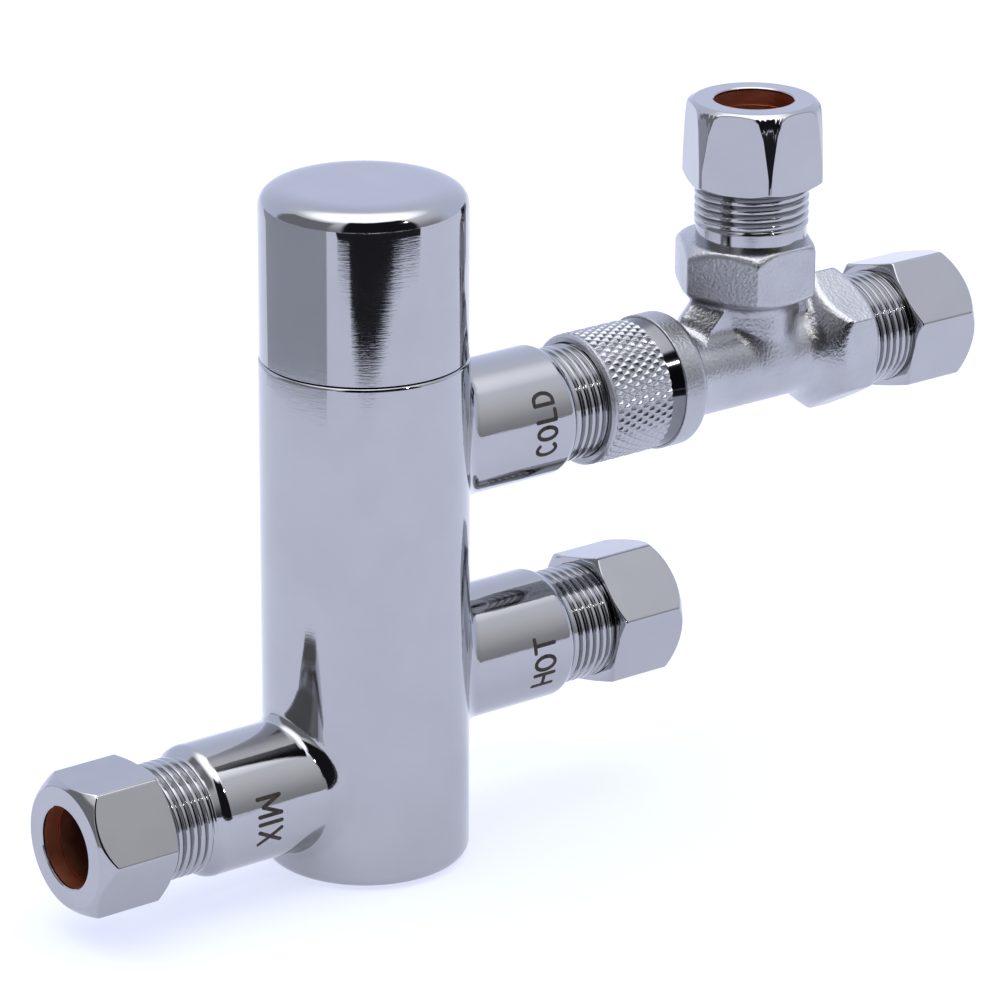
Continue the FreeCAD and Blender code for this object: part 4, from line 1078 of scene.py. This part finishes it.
@dataclass
class HexNut:
    """A compression nut, drawn from its rear face out along its axis."""

    port: Port
    axis: Axis
    phase: float
    flats: float = 15.7
    length: float = 10.5
    corner_round: float = 0.6
    face: float = 7.4
    arch: tuple[float, float, float] = (0.8, 0.2, 7.6)
    rear: float = 7.94
    hole: float = 4.95
    ease: float = 0.14
    corner_steps: int = 6
    flat_steps: int = 12
    face_steps: int = 10
    bend_steps: int = 4
    rim: float = 0.15
    rim_round: float = 0.05
    plated: float = 0.4
    seat: tuple[float, float] = (8.3, 6.3)
    bore: float = 7.15
    steps: int = 96

    def outline(self) -> tuple[Array, Array, Array]:
        """The hexagon with rounded corners.

        Returns:
            The radius and the angle of each point, and the angle of its normal.
        """
        core = (self.flats / 2 - self.corner_round) / math.cos(math.pi / 6)
        spots: list[tuple[float, float, float]] = []
        for index in range(6):
            corner = math.radians(self.phase + 60 * index)
            for step in range(self.corner_steps + 1):
                facing = corner + math.radians(-30 + 60 / self.corner_steps * step)
                spots.append((core * math.cos(corner) + self.corner_round * math.cos(facing),
                              core * math.sin(corner) + self.corner_round * math.sin(facing),
                              facing))
            facing = corner + math.radians(30)
            after = corner + math.radians(60)
            start = np.array(spots[-1][:2])
            end = np.array([core * math.cos(after) + self.corner_round * math.cos(facing),
                            core * math.sin(after) + self.corner_round * math.sin(facing)])
            for step in range(1, self.flat_steps):
                here = start + (end - start) * step / self.flat_steps
                spots.append((float(here[0]), float(here[1]), facing))
        x, y, facing = np.array(spots).T
        return np.hypot(x, y), np.arctan2(y, x), facing

    def fall(self, radius: Array) -> tuple[Array, Array]:
        """How far the front has fallen back from the face at a radius.

        Args:
            radius: The radii.

        Returns:
            The fall at each radius and how steep it is there.
        """
        slope, growth, start = self.arch
        beyond = np.maximum(radius - start, 0)
        depth = slope * np.maximum(radius - self.face, 0) + growth * beyond ** 2
        return depth, slope + 2 * growth * beyond

    def sides(self, skin: Skin) -> None:
        """Adds the flats, both chamfers and both faces.

        Args:
            skin: The mesh that gets them.
        """
        radius, angle, facing = self.outline()
        slope = math.tan(math.pi / 6)
        back = self.axis.directions(np.full_like(angle, -math.cos(math.pi / 6)),
                                    np.full_like(angle, 0.5), angle)
        wall = self.axis.directions(np.zeros_like(angle), np.ones_like(angle), facing)
        front = self.axis.directions(np.ones_like(angle), np.zeros_like(angle), angle)
        rows: list[Array] = []
        normals: list[Array] = []

        def row(along: Array | float, out: Array | float, normal: Array) -> None:
            """Adds one row of points.

            Args:
                along: Their distances along the axis.
                out: Their radii.
                normal: Their normals.
            """
            rows.append(self.axis.places(np.broadcast_to(along, angle.shape),
                                         np.broadcast_to(out, angle.shape), angle))
            normals.append(normal)

        def bend(start: tuple, middle: tuple, end: tuple, one: Array, other: Array) -> None:
            """Adds a small round between two faces.

            Args:
                start: Where it begins, along the axis and out from it.
                middle: The corner that it rounds.
                end: Where it ends.
                one: The normals at its start.
                other: The normals at its end.
            """
            for step in range(self.bend_steps + 1):
                share = step / self.bend_steps
                weights = ((1 - share) ** 2, 2 * share * (1 - share), share ** 2)
                along = sum(w * p[0] for w, p in zip(weights, (start, middle, end)))
                out = sum(w * p[1] for w, p in zip(weights, (start, middle, end)))
                row(along, out, one * (1 - share) + other * share)

        low = np.maximum(radius - self.rear, 0) * slope
        inner_low = np.maximum(radius - self.ease - self.rear, 0) * slope
        depth, _ = self.fall(radius)
        inner_depth, steep = self.fall(radius - self.ease)
        high, inner_high = self.length - depth, self.length - inner_depth
        cone = self.axis.directions(np.ones_like(angle), steep, angle)
        cone /= np.linalg.norm(cone, axis=-1, keepdims=True)
        row(0.0, self.bore, -front)
        row(0.0, np.minimum(self.rear, radius - self.ease) - self.rim_round, -front)
        edge = np.where(radius - self.ease > self.rear, 1.0, 0.0)[:, None]
        bend((inner_low, radius - self.ease), (low, radius), (low + self.ease, radius),
             back * edge - front * (1 - edge), wall)
        bend((high - self.ease, radius), (high, radius), (inner_high, radius - self.ease),
             wall, cone)
        for share in np.linspace(0, 1, self.face_steps)[1:]:
            out = (radius - self.ease) * (1 - share) + (self.face + self.ease) * share
            depth, steep = self.fall(out)
            row(self.length - depth, out, self.axis.directions(np.ones_like(angle), steep, angle))
        tip = self.face + self.ease
        slant = self.axis.directions(np.ones_like(angle), np.full_like(angle, self.arch[0]),
                                     angle) / math.hypot(1, self.arch[0])
        bend((self.length - self.ease * self.arch[0], tip), (self.length, self.face),
             (self.length, self.face - self.ease), slant, front)
        row(self.length, self.hole + self.rim, front)
        skin.add_grid(np.array(rows), np.array(normals), True)

    def build(self, finishes: dict[str, bpy.types.Material]) -> bpy.types.Object:
        """Makes the nut's mesh.

        Args:
            finishes: The materials by name.

        Returns:
            The piece.
        """
        skin = Skin()
        self.sides(skin)
        plated, (rear, wide) = self.length - self.plated, self.seat
        turned(skin, self.axis, [
            (self.length, self.hole + self.rim, self.rim_round),
            (self.length - self.rim, self.hole, self.rim_round), (plated, self.hole),
        ], steps=self.steps)
        turned(skin, self.axis, [(plated, self.hole), (rear, self.hole), (wide, wide),
                                 (wide, self.bore), (0.0, self.bore)], slot=1,
               steps=self.steps)
        name = self.port.value
        piece = skin.make(f"{name}_nut_skin", [finishes["nut"], finishes["bare"]])
        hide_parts(f"{name}_nut")
        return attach(piece, f"{name}_hexagon")


@dataclass
class KnurledNut:
    """The coupling nut with its diamond knurl."""

    start: float = 31.2
    height: float = 51.1
    radius: float = 8.18
    depth: float = 0.2
    columns: int = 90
    rows: int = 9
    band: tuple[float, float] = (0.7, 9.2)
    fineness: int = 8
    flat_tip: float = 1.35
    rim_drop: float = 0.04
    rear: Profile = ((12.4, 7.15), (0.0, 7.15, 0.1))
    rear_chamfer: tuple[float, float, float, float] = (0.3, 0.35, 0.1, 0.15)
    groove: Profile = ((7.65, 0.05), (11.2, 8.15))
    collar: Profile = ((11.2, 8.15, 0.02), (11.25, 8.4, 0.2), (15.0, 8.4, 1.1),
                       (15.0, 5.95, 0.1), (12.4, 5.95, 0.05), (12.4, 7.15))

    def knurl(self, skin: Skin, axis: Axis) -> None:
        """Adds the crossed grooves.

        Args:
            skin: The mesh that gets them.
            axis: The nut's axis.
        """
        across = self.columns * self.fineness
        down = self.rows * self.fineness
        angle = np.arange(across)[None, :] * 2 * math.pi / across
        along = np.linspace(self.band[0], self.band[1], down + 1)[:, None]
        turn = np.arange(across)[None, :] / self.fineness
        rise = np.arange(down + 1)[:, None] / self.fineness

        def ridge(phase: Array) -> Array:
            """How high one set of ridges stands, its tips a little flat."""
            share = np.abs(phase - np.round(phase)) * 2
            return np.minimum(share * self.flat_tip, 1.0)

        height = np.minimum(ridge((turn + rise) / 2), ridge((turn - rise) / 2))
        radius = self.radius - self.depth * (1 - height)
        step = 2 * math.pi * self.radius / across
        length = (self.band[1] - self.band[0]) / down
        lean = (np.roll(radius, -1, 1) - np.roll(radius, 1, 1)) / (2 * step)
        slope = np.gradient(radius, length, axis=0)
        tangent = (-np.sin(angle)[..., None] * np.array(axis.across)
                   + np.cos(angle)[..., None] * axis.third)
        normals = axis.directions(-slope, np.ones_like(radius), angle) - lean[..., None] * tangent
        skin.add_grid(axis.places(along, radius, angle), normals, True)

    def build(self, finishes: dict[str, bpy.types.Material]) -> bpy.types.Object:
        """Makes the nut's mesh.

        Args:
            finishes: The materials by name.

        Returns:
            The piece.
        """
        skin = Skin()
        axis = along_x(self.start, self.height)
        low, high = self.band
        floor = self.radius - self.depth
        rim = self.radius - self.rim_drop
        length, depth, inner_round, outer_round = self.rear_chamfer
        turned(skin, axis, [*self.rear, (0.0, rim - depth, inner_round),
                            (length, rim, outer_round), (low, rim, self.rim_drop),
                            (low, floor)], slot=2)
        self.knurl(skin, axis)
        (radius, bend), end = self.groove
        turned(skin, axis, [(high, floor), (high, radius, bend), end], slot=1)
        turned(skin, axis, self.collar, slot=2)
        piece = skin.make("knurled_nut_skin",
                          [finishes["knurl"], finishes["groove"], finishes["satin"]])
        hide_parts("union_nut")
        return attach(piece, "knurled_nut")


@dataclass
class Tee:
    """The forged tee, its places measured from where its two axes meet.

    A cone is given as its radius at a place along the axis, its slope, and the factor that
    makes a distance of it. A ridge is given as its reach and height, from high to low.
    """

    centre: tuple[float, float] = (59.1, 51.1)
    run: float = 5.75
    branch: float = 5.5
    blend: float = 0.9
    edge: float = 0.45
    end_edge: float = 0.3
    collar_flats: float = 15.7
    collar_cones: Profile = ((6.0, 6.9, 0.933, 0.731), (8.75, 14.3, -1.2, 0.64))
    collar_end: float = 14.9
    nut_flats: float = 16.0
    nut_shift: float = 0.9
    nut_cones: Profile = ((7.0, 8.4, 2.2, 0.41), (8.5, 15.9, -1.25, 0.62))
    nut_end: float = 15.9
    draft: float = 40.0
    web_side: float = 3.2
    web_edge: tuple[float, float] = (0.45, 0.3)
    left_ridge: Profile = ((8.4, 12.0), (10.8, 7.4), (12.4, 5.75))
    right_ridge: Profile = ((7.1, 9.8), (9.9, 5.4))
    net: tuple[Place, Place] = ((46.9, -8.9, 41.4), (74.7, 8.9, 67.5))
    net_step: float = 0.3
    run_neck: Profile = ((14.6, 7.1), (15.2, 7.1))
    run_thread: tuple[float, float] = (15.1, 26.8)
    stem_neck: Profile = ((15.5, 6.9), (17.7, 6.9, 0.3), (17.9, 7.0, 0.05))
    stem_thread: tuple[float, float] = (17.85, 28.8)
    mouth: Profile = ((0.0, 6.48), (0.0, 5.75, 0.08), (-1.6, 4.82), (-8.0, 4.82), (-8.0, 4.0))
    waterway: float = 4.0
    tail: Profile = ((-19.5, 4.0), (-19.5, 5.85, 0.1), (-16.5, 5.85), (-16.5, 5.1),
                     (-15.5, 5.1), (-15.5, 5.85), (-12.4, 5.85), (-12.1, 5.75))

    @staticmethod
    def hexagon(side: Array, corner: Array, flats: float) -> Array:
        """The distance to a hexagon with corners along the second direction."""
        return np.maximum(np.abs(side), np.abs(side) * 0.5 + np.abs(corner) * 0.866) - flats / 2

    @staticmethod
    def cone(out: Array, along: Array, shape: tuple[float, ...]) -> Array:
        """The distance to a cone about an axis."""
        radius, place, slope, factor = shape
        return (out - (radius + (along - place) * slope)) * factor

    def web(self, x: Array, y: Array, z: Array, ridge: Profile) -> Array:
        """The distance to a web whose faces fall away from a ridge on the parting line.

        Args:
            x: Places along the run, counted towards the web.
            y: Places across it.
            z: Heights.
            ridge: The ridge's reach and height, from high to low.

        Returns:
            The distances.
        """
        edges = np.maximum(z - ridge[0][1], -x)
        for (reach, height), (low_reach, low_height) in zip(ridge, ridge[1:]):
            run, fall = low_reach - reach, height - low_height
            beyond = ((x - reach) * fall + (z - height) * run) / math.hypot(run, fall)
            edges = np.maximum(edges, beyond)
        side = np.hypot(y, self.web_edge[0]) - self.web_edge[1]
        draft = math.radians(self.draft)
        faces = (edges + side * math.tan(draft)) * math.cos(draft)
        return np.maximum(faces, np.maximum(np.abs(y) - self.web_side, -z))

    def surface(self, x: Array, y: Array, z: Array) -> Array:
        """The distance to the forging.

        Args:
            x: Places along the run.
            y: Places across it.
            z: Heights.

        Returns:
            The distances.
        """
        x, z = x - self.centre[0], z - self.centre[1]
        around, about = np.hypot(y, z), np.hypot(x, y)
        solid = joined(around - self.run, np.maximum(about - self.branch, -z), self.blend)
        collar = self.hexagon(y, z, self.collar_flats)
        for shape in self.collar_cones:
            collar = shared(collar, self.cone(around, x, shape), self.edge)
        collar = shared(collar, x - self.collar_end, self.end_edge)
        solid = joined(solid, collar, self.blend)
        nut = self.hexagon(y, x + self.nut_shift, self.nut_flats)
        for shape in self.nut_cones:
            nut = shared(nut, self.cone(about, z, shape), self.edge)
        nut = shared(nut, z - self.nut_end, self.end_edge)
        solid = joined(solid, nut, self.blend)
        solid = joined(solid, self.web(-x, y, z, self.left_ridge), self.blend)
        return joined(solid, self.web(x, y, z, self.right_ridge), self.blend)

    def build(self, finishes: dict[str, bpy.types.Material]) -> bpy.types.Object:
        """Makes the tee's mesh.

        Args:
            finishes: The materials by name.

        Returns:
            The piece.
        """
        skin = Skin()
        Net(*self.net, self.net_step).draw(skin, self.surface, [(0, self.net[0][0])])
        run, stem = along_x(*self.centre), along_z(*self.centre)
        for axis, neck, (start, end) in ((run, self.run_neck, self.run_thread),
                                         (stem, self.stem_neck, self.stem_thread)):
            turned(skin, axis, neck, slot=1)
            Thread().cut(skin, axis, start, end, slot=1)
            mouth = [(end + along, *rest) for along, *rest in self.mouth]
            turned(skin, axis, [*mouth, (0.0, self.waterway)], slot=1)
        turned(skin, run, [(0.0, self.waterway), *self.tail], slot=1)
        piece = skin.make("tee_skin", [finishes["cast"], finishes["thread"]])
        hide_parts("tee_body")
        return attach(piece, "tee")


@dataclass
class Spring:
    """A coil spring with closed ends, its still end first in each pair."""

    node: str
    axis: Axis
    coil: float
    wire: float
    ends: tuple[float, float]
    turns: int
    bodies: tuple[str, str]
    steps: int = 30
    sides: int = 12
    closed: float = 1.04

    def build(self, finishes: dict[str, bpy.types.Material]) -> bpy.types.Object:
        """Makes the coil.

        Args:
            finishes: The materials by name.

        Returns:
            The piece.
        """
        skin = Skin()
        half = self.wire / 2
        low, high = min(self.ends) + half, max(self.ends) - half
        turn = np.linspace(0, self.turns, self.turns * self.steps + 1)[:, None]
        closed = self.wire * self.closed
        middle = np.interp(turn, (0, 1, self.turns - 1, self.turns),
                           (low, low + closed, high - closed, high))
        angle = 2 * math.pi * turn
        about = np.arange(self.sides)[None, ::-1] * 2 * math.pi / self.sides
        along = middle + half * np.sin(about)
        out = self.coil + half * np.cos(about)
        skin.add_grid(self.axis.places(along, out, angle),
                      self.axis.directions(np.sin(about), np.cos(about), angle), True)
        for end, sign in ((0, -1.0), (-1, 1.0)):
            ring = self.axis.places(along[end], out[0], angle[end])
            centre = np.broadcast_to(ring.mean(0), ring.shape)
            facing = np.broadcast_to(sign * self.axis.third, (2, *ring.shape))
            skin.add_grid(np.stack([centre, ring][::int(-sign)]), facing, True)
        piece = skin.make(f"{self.node}_coil", [finishes["steel"]])
        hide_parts(self.node)
        start, end = (Vector(self.axis.places(np.array(place), np.array(0.0), np.array(0.0)))
                      * MM for place in self.ends)
        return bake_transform(piece)


Stroke = list[tuple[float, float]]


def bow(centre: tuple[float, float], size: tuple[float, float], start: float,
        end: float) -> Stroke:
    """A curved stroke: part of an ellipse.

    Args:
        centre: The ellipse's middle.
        size: Its half width and half height.
        start: The angle that it starts from, in degrees.
        end: The angle that it ends at.

    Returns:
        The stroke.
    """
    angles = np.radians(np.linspace(start, end, 15))
    return [(centre[0] + size[0] * math.cos(a), centre[1] + size[1] * math.sin(a))
            for a in angles]


@dataclass(frozen=True)
class Mark:
    """A function word etched round a barrel, in round-ended strokes.

    Each stroke lies one layer above the one before, so that none share a plane.
    """

    word: str
    axis: Axis
    place: float
    middle: float
    height: float
    gap: float
    radius: float = 8.05
    weight: float = 0.25
    narrow: float = 0.85
    proud: float = 0.012
    layer: float = 0.0008
    bar: float = 0.35
    sides: int = 12

    @staticmethod
    def letter(sign: str) -> list[Stroke]:
        """The strokes of one letter, one unit tall and about 0.7 wide.

        Args:
            sign: The letter.

        Returns:
            The strokes.
        """
        strokes: dict[str, list[Stroke]] = {
            "H": [[(0, 0), (0, 1)], [(0.62, 0), (0.62, 1)], [(0, 0.5), (0.62, 0.5)]],
            "O": [bow((0.34, 0.5), (0.34, 0.5), 0, 360)],
            "T": [[(0, 1), (0.66, 1)], [(0.33, 0), (0.33, 1)]],
            "C": [bow((0.36, 0.5), (0.36, 0.5), 50, 310)],
            "L": [[(0, 1), (0, 0), (0.55, 0)]],
            "D": [[(0, 0), (0, 1), (0.22, 1)], bow((0.22, 0.5), (0.42, 0.5), 90, -90),
                  [(0.22, 0), (0, 0)]],
            "M": [[(0, 0), (0, 1), (0.41, 0.2), (0.82, 1), (0.82, 0)]],
            "I": [[(0, 0), (0, 1)]],
            "X": [[(0, 0), (0.64, 1)], [(0, 1), (0.64, 0)]],
        }
        return strokes[sign]

    def ribbon(self, skin: Skin, stroke: Stroke, lift: float) -> None:
        """Adds one stroke as a row of overlapping discs joined by bars.

        Args:
            skin: The mesh that gets it.
            stroke: The stroke, in millimetres.
            lift: How far it stands above the first.
        """
        path = np.array(stroke, float)
        for start, end in zip(path, path[1:]):
            way = end - start
            length = float(np.linalg.norm(way))
            steps = max(1, math.ceil(length / self.bar))
            side = np.array([-way[1], way[0]]) / length * self.weight
            along = np.linspace(0, 1, steps + 1)[:, None]
            rows = np.stack([start + way * along + side, start + way * along - side], 1)
            self.wrap(skin, rows, lift)
        for spot in path:
            angles = np.linspace(0, 2 * math.pi, self.sides + 1)[:-1]
            ring = spot + self.weight * np.stack([np.cos(angles), np.sin(angles)], -1)
            centre = np.broadcast_to(spot, ring.shape)
            rows = np.stack([ring, centre], 0)
            self.wrap(skin, np.concatenate([rows, rows[:, :1]], 1), lift)

    def wrap(self, skin: Skin, rows: Array, lift: float) -> None:
        """Lays flat points round the barrel, a hair above its plate.

        Args:
            skin: The mesh that gets them.
            rows: Rows of points, as places across and up.
            lift: How far they stand above the first stroke.
        """
        out = self.radius + self.proud + lift
        angle = self.middle - rows[..., 0] / self.radius
        along = self.place - rows[..., 1]
        normals = self.axis.directions(np.zeros_like(angle), np.ones_like(angle), angle)
        skin.add_grid(self.axis.places(along, np.full_like(angle, out), angle), normals, False)

    def build(self, finishes: dict[str, bpy.types.Material]) -> bpy.types.Object:
        """Makes the mark.

        Args:
            finishes: The materials by name.

        Returns:
            The piece.
        """
        skin = Skin()
        scale = self.height * self.narrow
        widths = [max(x for stroke in self.letter(sign) for x, _ in stroke) * scale
                  for sign in self.word]
        total = sum(widths) + self.gap * (len(widths) - 1)
        start = -total / 2
        lift = 0.0
        for sign, width in zip(self.word, widths):
            for stroke in self.letter(sign):
                path = [(start + x * scale, (y - 0.5) * self.height) for x, y in stroke]
                self.ribbon(skin, path, lift)
                lift += self.layer
            start += width + self.gap
        piece = skin.make(f"{self.word.lower()}_mark", [finishes["etch"]])
        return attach(piece, "housing")


KEPT = {
    "bonnet": "brass", "adjusting_spindle": "brass", "spring_cup": "brass", "pusher": "brass",
    "shuttle": "plastic", "wax_element": "copper", "element_piston": "steel",
    "pusher_circlip": "steel", "spindle_circlip": "steel", "union_ring": "steel",
    "cap_o_ring": "rubber", "bonnet_o_ring": "rubber", "spindle_o_ring": "rubber",
    "shuttle_o_ring": "rubber", "union_seal": "rubber", "mix_ferrule": "copper",
    "hot_ferrule": "copper", "run_ferrule": "copper", "branch_ferrule": "copper",
}
KEPT |= {f"{side}_{piece}": finish for side in ("hot", "cold") for piece, finish in (
    ("check_housing", "plastic"), ("check_guide", "plastic"), ("check_poppet", "plastic"),
    ("check_o_ring", "rubber"), ("strainer", "mesh"))}


def dress_kept(finishes: dict[str, bpy.types.Material]) -> None:
    """Gives each solid that stays its finish.

    Args:
        finishes: The materials by name.
    """
    for node, finish in KEPT.items():
        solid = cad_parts[node]
        for place in solid.material_slots:
            place.material = finishes[finish]
        log.info("%s: finished in %s", node, finish)


def corners(box: tuple[Vector, Vector]) -> list[list[float]]:
    """A box as plain lists of numbers."""
    return [list(corner) for corner in box]


def main() -> None:
    """Builds and dresses every piece."""
    logging.basicConfig(level=logging.INFO, format="%(message)s")
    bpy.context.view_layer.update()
    groups = {"polish": polish_group(), "cast": cast_group(), "tone": tone_and_crease_shade_group()}
    finishes = {name: finish.material(groups) for name, finish in FINISHES.items()}
    stage = Stage()
    stage.camera()
    stage.build()
    dress_kept(finishes)
    pieces = [Housing(), Cap(), KnurledNut(), Tee(),
              HexNut(Port.MIX, along_x(-32.7, 11.4, -1.0), 29.87),
              HexNut(Port.HOT, along_x(32.7, 22.1), 16.88),
              HexNut(Port.RUN, along_x(80.0, 51.1), 15.6),
              HexNut(Port.BRANCH, along_z(59.1, 74.0), 4.2, arch=(0.5, 12.0, 8.15)),
              Spring("return_spring", COLUMN, 6.2, 0.9, (3.1, 20.9), 6,
                     ("housing", "thermostat")),
              Spring("overtravel_spring", COLUMN, 4.6, 1.0, (59.55, 52.45), 5,
                     ("cup", "pusher")),
              Spring("hot_check_spring", along_x(0.0, 22.1), 1.7, 0.5, (19.3, 26.75), 6,
                     ("housing", "hot_poppet")),
              Spring("cold_check_spring", along_x(0.0, 51.1), 1.7, 0.5, (19.3, 26.75), 6,
                     ("housing", "cold_poppet")),
              Mark("HOT", along_x(0.0, 22.1), 21.2, 1.63, 2.9, 0.65, narrow=0.9),
              Mark("COLD", along_x(0.0, 51.1), 21.2, 1.43, 2.75, 0.8, narrow=0.8),
              Mark("MIX", along_x(0.0, 11.4, -1.0), 19.6, -1.56, 3.1, 1.0)]
    for piece in pieces:
        piece.build(finishes)


if __name__ == "__main__":
    main()
